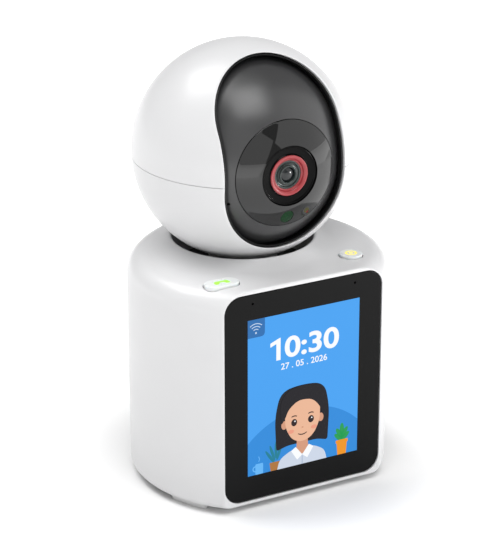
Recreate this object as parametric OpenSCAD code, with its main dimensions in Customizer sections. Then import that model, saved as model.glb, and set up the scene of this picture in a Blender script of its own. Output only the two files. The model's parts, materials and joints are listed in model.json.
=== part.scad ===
// Smart display with a pan and tilt camera head.
// A round body with a flat front holds a portrait screen, and a white
// sphere on top turns (pan) around a black inner ball that nods (tilt).
// Units are millimetres. +Z is up and the screen faces -Y. The origin is on
// the table, at the centre of the body's round plan.

/* [Body] */
// Radius of the round body in plan
body_r = 45.2; // [44.6:0.1:46.5]
// Height of the flat deck above the table
deck_z = 81; // [80.5:0.1:82]
// Height of the shell's underside above the table
shell_z = 2; // [1.5:0.1:2.5]
// Distance of the flat front from the body's centre
front_d = 33; // [32.8:0.1:33.4]
// Radius of the rounded edge around the deck
top_round = 7; // [5:0.5:8]
// Radius of the rounded edge around the underside
bottom_round = 2.5; // [2.5:0.5:4]
// Wall thickness of the body
wall = 2; // [1.8:0.1:2.4]

/* [Display] */
// Width of the front glass
glass_w = 60.6; // [59:0.1:60.6]
// Height of the front glass
glass_h = 76; // [74:0.1:76.2]
// Corner radius of the front glass
glass_corner = 6; // [4:0.5:8]
// Thickness of the front glass
glass_t = 1.8; // [1:0.1:1.8]
// Width of the lit screen area
screen_w = 43.2; // [40:0.1:44]
// Height of the lit screen area
screen_h = 57.6; // [54:0.1:58]

/* [Head] */
// Radius of the white sphere
head_r = 38.3; // [38:0.1:38.6]
// Height of the sphere's centre above the table
head_z = 114.4; // [114:0.1:115]
// Distance of the pan axis behind the body's centre
head_y = 10.8; // [10:0.1:11.4]
// Wall thickness of the sphere
head_wall = 1.8; // [1.6:0.1:2]
// Width of the opening in the sphere
opening_w = 45.6; // [43:0.1:46]
// Height of the opening in the sphere
opening_h = 66; // [64:0.5:67]
// Angle of the opening above the horizontal, in degrees
opening_tilt = 13.5; // [12:0.5:15]
// Radius of the black inner ball
ball_r = 34.9; // [34.6:0.1:35]

/* [Lens] */
// Radius of the round window over the lens
window_r = 18.5; // [17:0.1:19]
// Outer radius of the black ring around the lens
bezel_r = 10.4; // [9.8:0.1:10.6]
// Outer radius of the red ring
red_r = 7.05; // [6.8:0.05:7.2]
// Radius of the lens barrel
barrel_r = 3.3; // [3:0.1:3.5]

/* [Neck] */
// Inner radius of the neck around the sphere
throat_r = 24.8; // [24.4:0.1:25]
// Radius where the neck's flare meets the deck
flare_r = 34; // [33:0.5:34.5]
// Radius of the flare's concave curve
flare_curve = 16; // [15:0.5:18]

/* [Buttons] */
// Length of the call button
call_l = 12.4; // [11:0.1:13]
// Width of the call button
call_w = 6.8; // [6:0.1:7]
// Diameter of the round function button
func_d = 7.9; // [7:0.1:8.2]
// Height of the buttons above the deck
button_proud = 0.9; // [0.7:0.1:1.2]
// Travel of the buttons
button_travel = 0.5; // [0.3:0.1:0.5]

/* [Hidden] */
$fn = 96;

// Clearances
gap = 0.2;
button_gap = 0.25;
fit_gap = 0.05;
seat_gap = 0.02;
eps = 0.01;

// Body
inner_r = body_r - wall;
cavity_top = deck_z - wall;
floor_t = 2.2;
plate_r = body_r - 6.8;
front_y = -front_d;
front_wall = 3.5;
front_in = front_y + front_wall;
foot_r0 = 31;
foot_r1 = body_r - bottom_round - 0.2;
foot_span = 20;
foot_pad_r = 9;
foot_angles = [207, 333, 153, 27];
boss_orbit = 34.5;

// Display stack, from the glass inwards
glass_recess = 0.2;
glass_y = front_y + glass_recess;
glass_back = glass_y + glass_t;
glass_z = shell_z + 1.5 + glass_h / 2;
pocket_gap = 0.2;
lcd_w = 50;
lcd_h = 69.2;
lcd_t = 2.4;
lcd_top = glass_z + screen_h / 2 + 3.5;
lcd_y = glass_back + 0.1;
light_y = lcd_y + lcd_t + 0.1;
light_t = 1.6;
bracket_y = light_y + light_t + 0.1;
bracket_t = 1.7;
bracket_top = 69.5;
board_t = 1.6;
board_y = bracket_y + bracket_t + 1;
board_size = [52, 61];
board_mid_z = 38.5;
shield_pos = [6, 38];
shield_size = 17;
wifi_pos = [-12, 58];
wifi_size = [15, 12];
sensor_hole_x = 19.7;
sensor_hole_z = glass_z + glass_h / 2 - 3.4;
bracket_holes = [[-28.5, 10], [28.5, 10], [-28.5, 66], [28.5, 66]];
board_holes = [[-22, 12], [22, 12], [-22, 65], [22, 65]];

// Neck and pan drive, downwards from the sphere
nose_r = 0.8;
nose_x = throat_r + nose_r;
flare_drop = sqrt(pow(flare_curve + nose_r, 2) - pow(flare_r - nose_x, 2));
nose_z = deck_z + flare_curve - flare_drop;
nose_touch_z = nose_z + nose_r * flare_drop / (flare_curve + nose_r);
crown_z = nose_z + nose_r;
flare_foot = deck_z - 5;
throat_wall = 1.8;
ledge_z = 66;
ledge_r = 21;
neck_plate_z = ledge_z + 2;
neck_plate_t = 2.8;
boss_z = 74;
boss_r = 12;
hub_r = 8;
hub_bore = 4.5;
flange_z = 71.6;
hub_bottom = 56.5;
clip_z = 63.4;
gear_z = 57;
gear_t = 5;
chassis_z = 50;
chassis_t = 2;
chassis_front = -19.5;
chassis_posts = [[-36, -6], [36, -6], [-24, 32], [24, 32]];
hub_screw_r = 10;
hub_screw_angles = [90, 210, 330];
neck_screw_r = 22.8;
neck_screw_angles = [30, 150, 270];
bushing_r = 10.5;
bushing_drop = 3.5;
bushing_lip = 0.6;

// Motors
pan_motor_r = 14;
pan_motor_h = 19;
motor_offset = 8;
ear_offset = 17.5;
tilt_motor_r = 10;
tilt_motor_l = 15;
tilt_motor_offset = 6;
tilt_motor_angle = 30;

// Gears: their module and teeth, and the sizes that follow
gear_module = 0.6;
pan_teeth = 60;
tilt_teeth = 40;
pinion_teeth = 16;
pan_pitch = gear_module * pan_teeth / 2;
tilt_pitch = gear_module * tilt_teeth / 2;
pinion_pitch = gear_module * pinion_teeth / 2;
pan_centres = pan_pitch + pinion_pitch;
tilt_centres = tilt_pitch + pinion_pitch;
pressure = 20;
addendum = 0.9 * gear_module;
dedendum = 1.25 * gear_module;
backlash = 0.06;
flank_steps = 5;

// Head
head_in = head_r - head_wall;
split_z = -1.5;
split_gap = 0.1;
liner_t = 0.8;
ball_in = ball_r - 1.8;
ball_half = 25;
cheek_t = 1.8;
cheek_r = 21.4;
cheek_in = ball_half - cheek_t;
ball_split = 6;
pivot_r = 3;
bracket_in = 28.4;
bracket_out = 30.4;
tilt_gear_in = 26.2;
side_screws = [[-4.5, -14.2], [4.5, -14.2]];
bezel_y = 34.2;
holder_y = 19;
image_y = 13;
cross_y = 11.8;
led_y = 26.2;
sensor_drop = 15;
sensor_r = 2.4;
led_x = 8.4;
led_r = 0.55;
mic_pos = [-20, -8.4];
mic_r = 0.5;
lens_r = 2.6;

// Rear parts
usb_board_z = 8.9;
usb_board_t = 1.2;
usb_z = usb_board_z + usb_board_t + 1.64;
usb_mouth = body_r - 1;
speaker_z = 32;
speaker_r = 15;
speaker_face = 38;
speaker_slots = 5;
slot_pitch = 3;
usb_tongue = [6.6, 0.7];
usb_depth = 7.4;

// Button board and switches
call_pos = [-26.5, -23.5];
func_pos = [25, -21];
button_board_z = 70.6;
button_board_t = 1.2;
stem_z = deck_z - 4.9;
collar_z = deck_z - 4.5;
collar_top = deck_z - 3.7;
board_posts = [[-10, -22.5], [10, -22.5]];

// ---- Outlines -------------------------------------------------------------

// Rounded rectangle centred on the origin.
module round_rect(w, h, r) {
    square([w - 2 * r, h], center = true);
    square([w, h - 2 * r], center = true);
    for (x = [-1, 1], y = [-1, 1])
        translate([x * (w / 2 - r), y * (h / 2 - r)])
            circle(r = r);
}

// Slot with round ends, taller or wider as its sizes say.
module stadium(w, h) {
    round_rect(w, h, min(w, h) / 2 - eps);
}

// Turns an outline in X and Y into a plate in X and Z that faces -Y.
module standing(y_front, t) {
    translate([0, y_front + t, 0])
        rotate([90, 0, 0])
            linear_extrude(t)
                children();
}

module at_head() {
    translate([0, head_y, head_z])
        children();
}

// Cylinder along X between two places.
module x_rod(x0, x1, r) {
    translate([x0, 0, 0])
        rotate([0, 90, 0])
            cylinder(h = x1 - x0, r = r);
}

// Cylinder along Y between two places.
module y_rod(y0, y1, r) {
    translate([0, y1, 0])
        rotate([90, 0, 0])
            cylinder(h = y1 - y0, r = r);
}

// Ring around the lens axis; distances are forward of the ball's centre.
module lens_ring(r_in, r_out, near, far) {
    difference() {
        y_rod(-far, -near, r_out);
        y_rod(-far - 1, -near + 1, r_in);
    }
}

// ---- Gear teeth -----------------------------------------------------------

function involute_turn(r, base) =
    r <= base ? 0 : let(a = acos(base / r)) tan(a) * 180 / PI - a;

function tooth_half(r, pitch, teeth) =
    let(base = pitch * cos(pressure))
    90 / teeth + involute_turn(pitch, base) - involute_turn(max(r, base), base)
    - backlash / pitch * 180 / PI;

function polar(r, a) = [r * cos(a), r * sin(a)];

module gear_outline(teeth) {
    pitch = gear_module * teeth / 2;
    root = pitch - dedendum;
    tip = pitch + addendum;
    start = max(root, pitch * cos(pressure));
    radii = [for (i = [0:flank_steps]) start + (tip - start) * i / flank_steps];
    rising = [for (r = radii) [r, -tooth_half(r, pitch, teeth)]];
    falling = [for (i = [flank_steps:-1:0]) [radii[i], tooth_half(radii[i], pitch, teeth)]];
    foot = tooth_half(start, pitch, teeth);
    tooth = concat([[root, -foot]], rising, falling, [[root, foot]]);
    polygon([for (k = [0:teeth - 1]) for (p = tooth) polar(p[0], p[1] + k * 360 / teeth)]);
}

// ---- Body shapes ----------------------------------------------------------

// Round drum with rounded top and bottom edges.
module drum(r, z0, z1, round_top, round_bottom) {
    rotate_extrude() {
        translate([0, z0])
            square([r - round_bottom, z1 - z0]);
        translate([0, z0])
            square([r - round_top, z1 - z0]);
        translate([0, z0 + round_bottom])
            square([r, z1 - z0 - round_top - round_bottom]);
        translate([r - round_top, z1 - round_top])
            circle(r = round_top);
        translate([r - round_bottom, z0 + round_bottom])
            circle(r = round_bottom);
    }
}

// Half space behind a flat front.
module behind(y) {
    translate([-100, y, -50])
        cube([200, 200, 300]);
}

// Concave flare that rises to the neck's round nose.
module flare() {
    translate([0, head_y, 0])
        rotate_extrude() {
            difference() {
                translate([nose_x, flare_foot])
                    square([flare_r - nose_x, nose_touch_z - flare_foot]);
                translate([flare_r, deck_z + flare_curve])
                    circle(r = flare_curve, $fn = 192);
            }
            translate([throat_r - 1, flare_foot])
                square([nose_r + 1, nose_z - flare_foot]);
            translate([nose_x, nose_z])
                circle(r = nose_r);
        }
}

// Screw that points up, with its head's seat at zero and a hexagon socket below.
module screw(shaft_r, shaft_l, head_rad, head_l) {
    translate([0, 0, -head_l / 4])
        cylinder(h = shaft_l + head_l / 4, r = shaft_r, $fn = 32);
    translate([0, 0, -head_l])
        difference() {
            cylinder(h = head_l, r = head_rad, $fn = 32);
            translate([0, 0, -eps])
                cylinder(h = head_l / 2, r = head_rad * 0.45, $fn = 6);
        }
}

module on_circle(r, angles) {
    for (a = angles)
        rotate([0, 0, a])
            translate([r, 0, 0])
                children();
}

module usb_slot(grow) {
    stadium(8.94 + 2 * grow, 3.26 + 2 * grow);
}

// ---- Base -----------------------------------------------------------------

module shell_outer() {
    intersection() {
        union() {
            drum(body_r, shell_z, deck_z, top_round, bottom_round);
            intersection() {
                flare();
                drum(body_r, shell_z, crown_z, top_round + crown_z - deck_z, bottom_round);
            }
        }
        behind(front_y);
    }
}

module shell_cavity() {
    intersection() {
        drum(inner_r, shell_z + floor_t, cavity_top, top_round - wall, bottom_round - wall);
        behind(front_in);
    }
    translate([0, 0, shell_z - 1])
        intersection() {
            cylinder(h = floor_t + 2, r = plate_r + gap);
            behind(front_in);
        }
}

// Solid posts and ribs inside the shell.
module shell_posts() {
    difference() {
        union() {
            translate([0, head_y, ledge_z])
                cylinder(h = cavity_top - ledge_z + eps, r = throat_r + throat_wall);
            for (p = chassis_posts)
                translate([p[0], p[1], chassis_z + chassis_t])
                    cylinder(h = cavity_top - chassis_z - chassis_t + eps, r = 3.4);
            for (p = board_posts)
                translate([p[0], p[1], button_board_z + button_board_t])
                    cylinder(h = cavity_top - button_board_z - button_board_t + eps, r = 2);
            on_circle(boss_orbit, foot_angles)
                translate([0, 0, shell_z + floor_t + gap]) {
                    cylinder(h = 16, r = 3);
                    translate([0, -1, 0])
                        cube([inner_r - boss_orbit + 1, 2, 16]);
                }
            for (p = bracket_holes)
                translate([p[0], 0, p[1]])
                    y_rod(front_in - eps, bracket_y, 2.4);
        }
        translate([0, head_y, ledge_z - 1])
            cylinder(h = 40, r = ledge_r);
        translate([0, head_y, neck_plate_z])
            cylinder(h = 40, r = throat_r);
        translate([0, head_y, ledge_z - 1])
            on_circle(neck_screw_r, neck_screw_angles)
                cylinder(h = 6, r = 1 + seat_gap, $fn = 32);
        for (p = chassis_posts)
            translate([p[0], p[1], chassis_z])
                cylinder(h = 10, r = 1.2 + seat_gap, $fn = 32);
        for (p = board_posts)
            translate([p[0], p[1], button_board_z])
                cylinder(h = 5.4, r = 0.8 + seat_gap, $fn = 32);
        on_circle(boss_orbit, foot_angles)
            translate([0, 0, shell_z])
                cylinder(h = 12, r = 1.2 + seat_gap, $fn = 32);
        for (p = bracket_holes)
            translate([p[0], 0, p[1]])
                y_rod(front_in, bracket_y + 1, 0.9 + seat_gap);
    }
}

module main_shell() {
    color("white")
    difference() {
        union() {
            difference() {
                shell_outer();
                shell_cavity();
            }
            intersection() {
                shell_posts();
                drum(body_r - wall / 2, shell_z, deck_z - wall / 2, top_round - 1, bottom_round - 1);
            }
        }
        translate([0, head_y, neck_plate_z])
            cylinder(h = 40, r = throat_r);
        translate([0, 0, glass_z])
            standing(front_y - 1, 1 + glass_recess + glass_t)
                round_rect(glass_w + 2 * pocket_gap, glass_h + 2 * pocket_gap, glass_corner + pocket_gap);
        translate([0, 0, lcd_top - lcd_h / 2])
            standing(front_y - 1, front_wall + 2)
                square([lcd_w + 1.6, lcd_h + 1.6], center = true);
        translate([call_pos[0], call_pos[1], cavity_top - 1])
            linear_extrude(6)
                stadium(call_l + 2 * button_gap, call_w + 2 * button_gap);
        translate([func_pos[0], func_pos[1], cavity_top - 1])
            cylinder(h = 6, r = func_d / 2 + button_gap);
        translate([0, 0, usb_z])
            standing(inner_r - 4, 10)
                usb_slot(0.3);
        translate([0, 0, usb_z])
            standing(body_r - 1, 3)
                usb_slot(1.6);
        for (i = [0:speaker_slots - 1])
            translate([0, 0, speaker_z + slot_pitch * (i - (speaker_slots - 1) / 2)])
                standing(inner_r - 8, 20)
                    stadium(16, 1.4);
    }
}

module base_plate() {
    color("white")
    difference() {
        union() {
            intersection() {
                translate([0, 0, shell_z])
                    cylinder(h = floor_t, r = plate_r);
                behind(front_in + gap);
            }
            for (x = [-7, 7])
                translate([x, 28, shell_z])
                    cylinder(h = usb_board_z - shell_z, r = 2);
        }
        on_circle(boss_orbit, foot_angles)
            translate([0, 0, shell_z - 1]) {
                cylinder(h = 5, r = 1.3, $fn = 32);
                cylinder(h = 2.1, r = 2.4, $fn = 32);
            }
    }
}

// Four curved feet and a round pad in the middle, all on the table.
module feet() {
    color("gainsboro") {
        for (a = foot_angles)
            rotate([0, 0, a - foot_span / 2])
                rotate_extrude(angle = foot_span)
                    translate([foot_r0, 0])
                        square([foot_r1 - foot_r0, shell_z]);
        cylinder(h = shell_z, r = foot_pad_r);
    }
}

module base_screws() {
    color("silver")
    on_circle(boss_orbit, foot_angles)
        translate([0, 0, shell_z + 1.1])
            screw(1.2, 10, 2.3, 1.1);
}

module display_glass() {
    color([0.08, 0.08, 0.08])
    difference() {
        translate([0, 0, glass_z])
            standing(glass_y, glass_t)
                round_rect(glass_w, glass_h, glass_corner);
        for (x = [-1, 1])
            translate([x * sensor_hole_x, 0, sensor_hole_z])
                y_rod(glass_y - 1, glass_back + 1, 0.45);
    }
}

module lcd_panel() {
    color("dodgerblue")
    translate([0, 0, lcd_top - lcd_h / 2])
        standing(lcd_y, lcd_t)
            square([lcd_w, lcd_h], center = true);
}

module backlight() {
    color("whitesmoke")
    translate([0, 0, (bracket_top + lcd_top - lcd_h) / 2])
        standing(light_y, light_t)
            square([lcd_w - 2, bracket_top - lcd_top + lcd_h - 1], center = true);
}

module display_bracket() {
    color([0.2, 0.2, 0.2])
    difference() {
        union() {
            translate([0, 0, (bracket_top + 5.5) / 2])
                standing(bracket_y, bracket_t)
                    round_rect(62, bracket_top - 5.5, 3);
            for (p = board_holes)
                translate([p[0], 0, p[1]])
                    y_rod(bracket_y + bracket_t - eps, board_y, 2.2);
        }
        for (p = bracket_holes)
            translate([p[0], 0, p[1]])
                y_rod(bracket_y - 1, bracket_y + bracket_t + 1, 1.0);
        for (p = board_holes)
            translate([p[0], 0, p[1]])
                y_rod(bracket_y + 0.4, board_y + 1, 0.8 + seat_gap);
    }
}

// Screw along Y, with its head towards the rear.
module rear_screw(p, y_seat, shaft_r, shaft_l, head_rad) {
    translate([p[0], y_seat, p[1]])
        rotate([90, 0, 0])
            screw(shaft_r, shaft_l, head_rad, 1.1);
}

module bracket_screws() {
    color("silver")
    for (p = bracket_holes)
        rear_screw(p, bracket_y + bracket_t, 0.9, bracket_t + 2.6, 1.7);
}

module main_board() {
    color("darkgreen")
    difference() {
        translate([0, 0, board_mid_z])
            standing(board_y, board_t)
                square(board_size, center = true);
        for (p = board_holes)
            translate([p[0], 0, p[1]])
                y_rod(board_y - 1, board_y + board_t + 1, 1.0);
    }
}

module processor_shield() {
    color("silver")
    translate([shield_pos[0], 0, shield_pos[1]])
        standing(board_y + board_t, 2.2)
            round_rect(shield_size, shield_size, 1);
}

module wifi_module() {
    color("silver")
    translate([wifi_pos[0], 0, wifi_pos[1]])
        standing(board_y + board_t, 1.8)
            square(wifi_size, center = true);
}

module board_screws() {
    color("silver")
    for (p = board_holes)
        rear_screw(p, board_y + board_t, 0.8, board_t + 2, 1.6);
}

module usb_board() {
    color("darkgreen")
    translate([-10, 25, usb_board_z])
        cube([20, 15.5, usb_board_t]);
}

module usb_port() {
    color("silver")
    translate([0, 0, usb_z])
        difference() {
            standing(usb_mouth - usb_depth, usb_depth)
                usb_slot(0);
            difference() {
                standing(usb_mouth - usb_depth + 1, usb_depth)
                    usb_slot(-0.3);
                standing(usb_mouth - usb_depth, usb_depth - 0.8)
                    square(usb_tongue, center = true);
            }
        }
}

module speaker() {
    color([0.15, 0.15, 0.15])
    translate([0, 0, speaker_z]) {
        y_rod(speaker_face - 8.5, speaker_face - 4, speaker_r - 5);
        y_rod(speaker_face - 4, speaker_face - 1.4, speaker_r);
        difference() {
            y_rod(speaker_face - 1.5, speaker_face, speaker_r);
            y_rod(speaker_face - 1.4, speaker_face + 1, speaker_r - 2);
        }
    }
}

// ---- Buttons --------------------------------------------------------------

module button_board() {
    color("darkgreen")
    difference() {
        intersection() {
            translate([-37, -28.2, button_board_z])
                cube([71, 10.7, button_board_t]);
            cylinder(h = 200, r = inner_r - 0.8);
        }
        for (p = board_posts)
            translate([p[0], p[1], button_board_z - 1])
                cylinder(h = 4, r = 0.9, $fn = 32);
    }
}

module button_switches() {
    color("silver")
    for (p = [call_pos, func_pos])
        translate([p[0], p[1], button_board_z + button_board_t]) {
            translate([-3, -3, 0])
                cube([6, 6, 2.6]);
            cylinder(h = stem_z - button_travel - 0.1 - button_board_z - button_board_t, r = 1.6);
        }
}

module button_board_screws() {
    color("silver")
    for (p = board_posts)
        translate([p[0], p[1], button_board_z])
            screw(0.8, 5.2, 1.6, 1);
}

// A button cap: its pad above, a collar under the deck and a stem below.
module button_body(pos) {
    translate([pos[0], pos[1], collar_z])
        linear_extrude(deck_z + button_proud - collar_z)
            children();
    translate([pos[0], pos[1], stem_z])
        cylinder(h = 2, r = 1.8);
}

module call_button() {
    color("white")
    difference() {
        union() {
            button_body(call_pos)
                stadium(call_l, call_w);
            translate([call_pos[0], call_pos[1], collar_z])
                linear_extrude(collar_top - collar_z)
                    stadium(call_l + 1.2, call_w + 1.2);
        }
        call_icon_solid(seat_gap, 1);
    }
}

module function_button() {
    color("white")
    difference() {
        union() {
            button_body(func_pos)
                circle(d = func_d);
            translate([func_pos[0], func_pos[1], collar_z])
                cylinder(h = collar_top - collar_z, r = func_d / 2 + 0.6);
        }
        function_icon_solid(seat_gap, 1);
    }
}

// Telephone handset, a bar with two downturned ends.
module call_icon_solid(grow, lift) {
    translate([call_pos[0], call_pos[1], deck_z + button_proud - 0.6])
        linear_extrude(0.6 + lift) {
            translate([-2.6 - grow, 0.3 - grow])
                square([5.2 + 2 * grow, 1.3 + 2 * grow]);
            for (x = [-1, 1])
                translate([x * 1.95 - 0.85 - grow, -1.4 - grow])
                    square([1.7 + 2 * grow, 2.6 + 2 * grow]);
        }
}

// Plain ring with a dot, a generic mark.
module function_icon_solid(grow, lift) {
    translate([func_pos[0], func_pos[1], deck_z + button_proud - 0.6]) {
        difference() {
            cylinder(h = 0.6 + lift, r = 2.1 + grow);
            translate([0, 0, -1])
                cylinder(h = 3 + lift, r = 1.4 - grow);
        }
        cylinder(h = 0.6 + lift, r = 0.7 + grow);
    }
}

module call_icon() {
    color("yellowgreen")
    call_icon_solid(0, 0);
}

module function_icon() {
    color("khaki")
    function_icon_solid(0, 0);
}

// ---- Pan drive ------------------------------------------------------------

module chassis_plate() {
    color([0.25, 0.25, 0.25])
    difference() {
        union() {
            intersection() {
                translate([0, 0, chassis_z])
                    cylinder(h = chassis_t, r = inner_r - 0.8);
                behind(chassis_front);
            }
            translate([-0.7, head_y - 17, chassis_z])
                cube([1.4, 2.4, gear_z - chassis_z - 0.2]);
        }
        translate([0, head_y, chassis_z - 1])
            cylinder(h = 5, r = 6);
        translate([-pan_centres, head_y, chassis_z - 1])
            cylinder(h = 5, r = 5);
        for (s = [-1, 1])
            translate([motor_offset - pan_centres, head_y + s * ear_offset, chassis_z - 1])
                cylinder(h = 5, r = 1.5, $fn = 32);
        for (p = chassis_posts)
            translate([p[0], p[1], chassis_z - 1])
                cylinder(h = 5, r = 1.3, $fn = 32);
    }
}

module chassis_screws() {
    color("silver")
    for (p = chassis_posts)
        translate([p[0], p[1], chassis_z])
            screw(1.2, 9, 2.2, 1.2);
}

module pan_motor() {
    color("silver")
    difference() {
        union() {
            translate([motor_offset - pan_centres, head_y, chassis_z - pan_motor_h])
                cylinder(h = pan_motor_h, r = pan_motor_r);
            translate([motor_offset - pan_centres - 3.5, head_y - ear_offset, chassis_z - 1])
                cube([7, 2 * ear_offset, 1]);
            for (s = [-1, 1])
                translate([motor_offset - pan_centres, head_y + s * ear_offset, chassis_z - 1])
                    cylinder(h = 1, r = 3.5);
            translate([-pan_centres, head_y, chassis_z - 1])
                cylinder(h = 2.5, r = 4.5);
        }
        for (s = [-1, 1])
            translate([motor_offset - pan_centres, head_y + s * ear_offset, chassis_z - 2])
                cylinder(h = 3, r = 1.4 + seat_gap, $fn = 32);
    }
}

module motor_screws() {
    color("silver")
    for (s = [-1, 1])
        translate([motor_offset - pan_centres, head_y + s * ear_offset, chassis_z + chassis_t])
            rotate([180, 0, 0])
                screw(1.4, 4.5, 2.6, 1.4);
}

module pan_motor_shaft() {
    color("silver")
    translate([-pan_centres, head_y, chassis_z + 1.6])
        cylinder(h = gear_z + gear_t + 0.5 - chassis_z - 1.6, r = 2);
}

module pan_pinion() {
    color("ivory")
    translate([-pan_centres, head_y, gear_z - 0.5])
        linear_extrude(gear_t + 0.8)
            difference() {
                rotate(180 / pinion_teeth)
                    gear_outline(pinion_teeth);
                circle(r = 2 + seat_gap);
            }
}

module pan_gear() {
    color("ivory")
    translate([0, head_y, gear_z]) {
        linear_extrude(gear_t)
            difference() {
                gear_outline(pan_teeth);
                circle(r = hub_r + seat_gap);
            }
        translate([-0.5, 14.6, -2])
            cube([1, 2.4, 2 + eps]);
    }
}

module neck_plate() {
    color([0.12, 0.12, 0.12])
    translate([0, head_y, 0])
        difference() {
            union() {
                translate([0, 0, neck_plate_z])
                    cylinder(h = neck_plate_t, r = throat_r - gap);
                translate([0, 0, neck_plate_z - bushing_drop])
                    cylinder(h = bushing_drop + 0.5, r = bushing_r + 2.5);
            }
            translate([0, 0, neck_plate_z - 5])
                cylinder(h = 10, r = bushing_r);
            on_circle(neck_screw_r, neck_screw_angles)
                translate([0, 0, neck_plate_z - 1])
                    cylinder(h = 5, r = 1.1, $fn = 32);
        }
}

module neck_screws() {
    color([0.2, 0.2, 0.2])
    translate([0, head_y, neck_plate_z + neck_plate_t])
        on_circle(neck_screw_r, neck_screw_angles)
            rotate([180, 0, 0])
                screw(1, 4.6, 1.7, 1);
}

module pan_bushing() {
    color("ivory")
    translate([0, head_y, neck_plate_z - bushing_drop])
        rotate_extrude()
            difference() {
                union() {
                    square([bushing_r - seat_gap, neck_plate_t + bushing_drop + bushing_lip]);
                    translate([0, neck_plate_t + bushing_drop])
                        square([bushing_r + 2, bushing_lip]);
                }
                translate([0, -1])
                    square([hub_r + fit_gap, 20]);
            }
}

module pan_hub() {
    color("ivory")
    translate([0, head_y, 0])
        difference() {
            union() {
                translate([0, 0, flange_z])
                    cylinder(h = boss_z - flange_z, r = boss_r);
                translate([0, 0, hub_bottom])
                    cylinder(h = flange_z - hub_bottom + eps, r = hub_r);
            }
            translate([0, 0, hub_bottom - 1])
                cylinder(h = 30, r = hub_bore);
            on_circle(hub_screw_r, hub_screw_angles) {
                translate([0, 0, flange_z - 1])
                    cylinder(h = 5, r = 0.9, $fn = 32);
                translate([0, 0, flange_z - 1])
                    cylinder(h = 2.2, r = 1.7, $fn = 32);
            }
        }
}

module hub_screws() {
    color("silver")
    translate([0, head_y, flange_z + 1.2])
        on_circle(hub_screw_r, hub_screw_angles)
            screw(0.8, 4.2, 1.5, 1.1);
}

module hub_clip() {
    color("silver")
    translate([0, head_y, clip_z])
        difference() {
            cylinder(h = 0.8, r = 10.2);
            translate([0, 0, -1])
                cylinder(h = 3, r = hub_r + seat_gap);
            translate([-1.5, 0, -1])
                cube([3, 20, 3]);
        }
}

// ---- Head shells ----------------------------------------------------------

// Prism of an outline along the direction that the opening faces.
module opening_prism(grow) {
    rotate([90 - opening_tilt, 0, 0])
        linear_extrude(60)
            stadium(opening_w + 2 * grow, opening_h + 2 * grow);
}

module below(z) {
    translate([-60, -60, z - 120])
        cube([120, 120, 120]);
}

module above(z) {
    translate([-60, -60, z])
        cube([120, 120, 120]);
}

module ball_shell(outer, inner) {
    difference() {
        sphere(r = outer);
        sphere(r = inner);
    }
}

module head_upper_shell() {
    color("white")
    at_head()
        difference() {
            sphere(r = head_r);
            sphere(r = head_in);
            opening_prism(0);
            below(split_z + split_gap / 2);
        }
}

module side_pad(side) {
    intersection() {
        sphere(r = head_r - 0.8);
        translate([side > 0 ? bracket_out : -40, -7, -17])
            cube([40 - bracket_out, 14, 8]);
    }
}

module head_lower_shell() {
    color("white")
    at_head()
        difference() {
            union() {
                difference() {
                    union() {
                        sphere(r = head_r);
                        translate([0, 0, boss_z - head_z])
                            cylinder(h = 6, r = boss_r);
                    }
                    sphere(r = head_in);
                    above(split_z - split_gap / 2);
                }
                side_pad(-1);
                side_pad(1);
                difference() {
                    ball_shell(head_in - 0.1, head_in - 0.7);
                    above(0.6);
                    below(split_z - 3);
                    opening_prism(2.6);
                }
                difference() {
                    ball_shell(head_in + 0.1, head_in - 0.7);
                    above(split_z - split_gap / 2);
                    below(split_z - 3);
                    opening_prism(2.6);
                }
            }
            opening_prism(0);
            translate([0, 0, -60])
                cylinder(h = 60, r = 5);
            on_circle(hub_screw_r, hub_screw_angles)
                translate([0, 0, boss_z - head_z - 1])
                    cylinder(h = 4.2, r = 0.8 + seat_gap, $fn = 32);
            for (s = side_screws)
                translate([0, s[0], s[1]]) {
                    x_rod(29, 33.6, 0.9 + seat_gap);
                    x_rod(-33.6, -29, 0.9 + seat_gap);
                }
        }
}

module opening_liner() {
    color([0.05, 0.05, 0.05])
    at_head()
        difference() {
            union() {
                intersection() {
                    sphere(r = head_r - 0.6);
                    opening_prism(-fit_gap);
                }
                intersection() {
                    sphere(r = head_in - 0.1);
                    opening_prism(2);
                }
            }
            sphere(r = ball_r + 0.4);
            opening_prism(-liner_t);
        }
}

// ---- Tilt bearings --------------------------------------------------------

// Side plate that carries one pivot, as it stands on the +X side.
module tilt_bracket() {
    difference() {
        union() {
            x_rod(bracket_in, bracket_out, 9);
            translate([bracket_in, -7, -16.5])
                cube([bracket_out - bracket_in, 14, 12]);
        }
        x_rod(bracket_in - 1, bracket_out + 1, pivot_r + fit_gap);
        for (s = side_screws)
            translate([0, s[0], s[1]])
                x_rod(bracket_in - 1, bracket_out + 1, 1.0);
    }
}

module tilt_bracket_right() {
    color([0.2, 0.2, 0.2])
    at_head()
        tilt_bracket();
}

module tilt_bracket_left() {
    color([0.2, 0.2, 0.2])
    at_head()
        mirror([1, 0, 0])
            tilt_bracket();
}

module tilt_bracket_screws() {
    color("silver")
    at_head()
        for (side = [0, 1])
            mirror([side, 0, 0])
                for (s = side_screws)
                    translate([bracket_in, s[0], s[1]])
                        rotate([0, 90, 0])
                            screw(0.9, 4.8, 1.6, 1);
}

module tilt_gear() {
    color("ivory")
    at_head()
        translate([-bracket_in, 0, 0])
            rotate([90, 0, 90])
                linear_extrude(bracket_in - tilt_gear_in)
                    difference() {
                        rotate(tilt_motor_angle)
                            gear_outline(tilt_teeth);
                        circle(r = 3.6);
                    }
}

module pivot_pins() {
    color("silver")
    at_head()
        for (side = [0, 1])
            mirror([side, 0, 0])
                x_rod(cheek_in, bracket_out + 0.2, pivot_r);
}

// ---- Inner ball -----------------------------------------------------------

module ball_slab() {
    translate([-ball_half, -50, -50])
        cube([2 * ball_half, 100, 100]);
}

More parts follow.
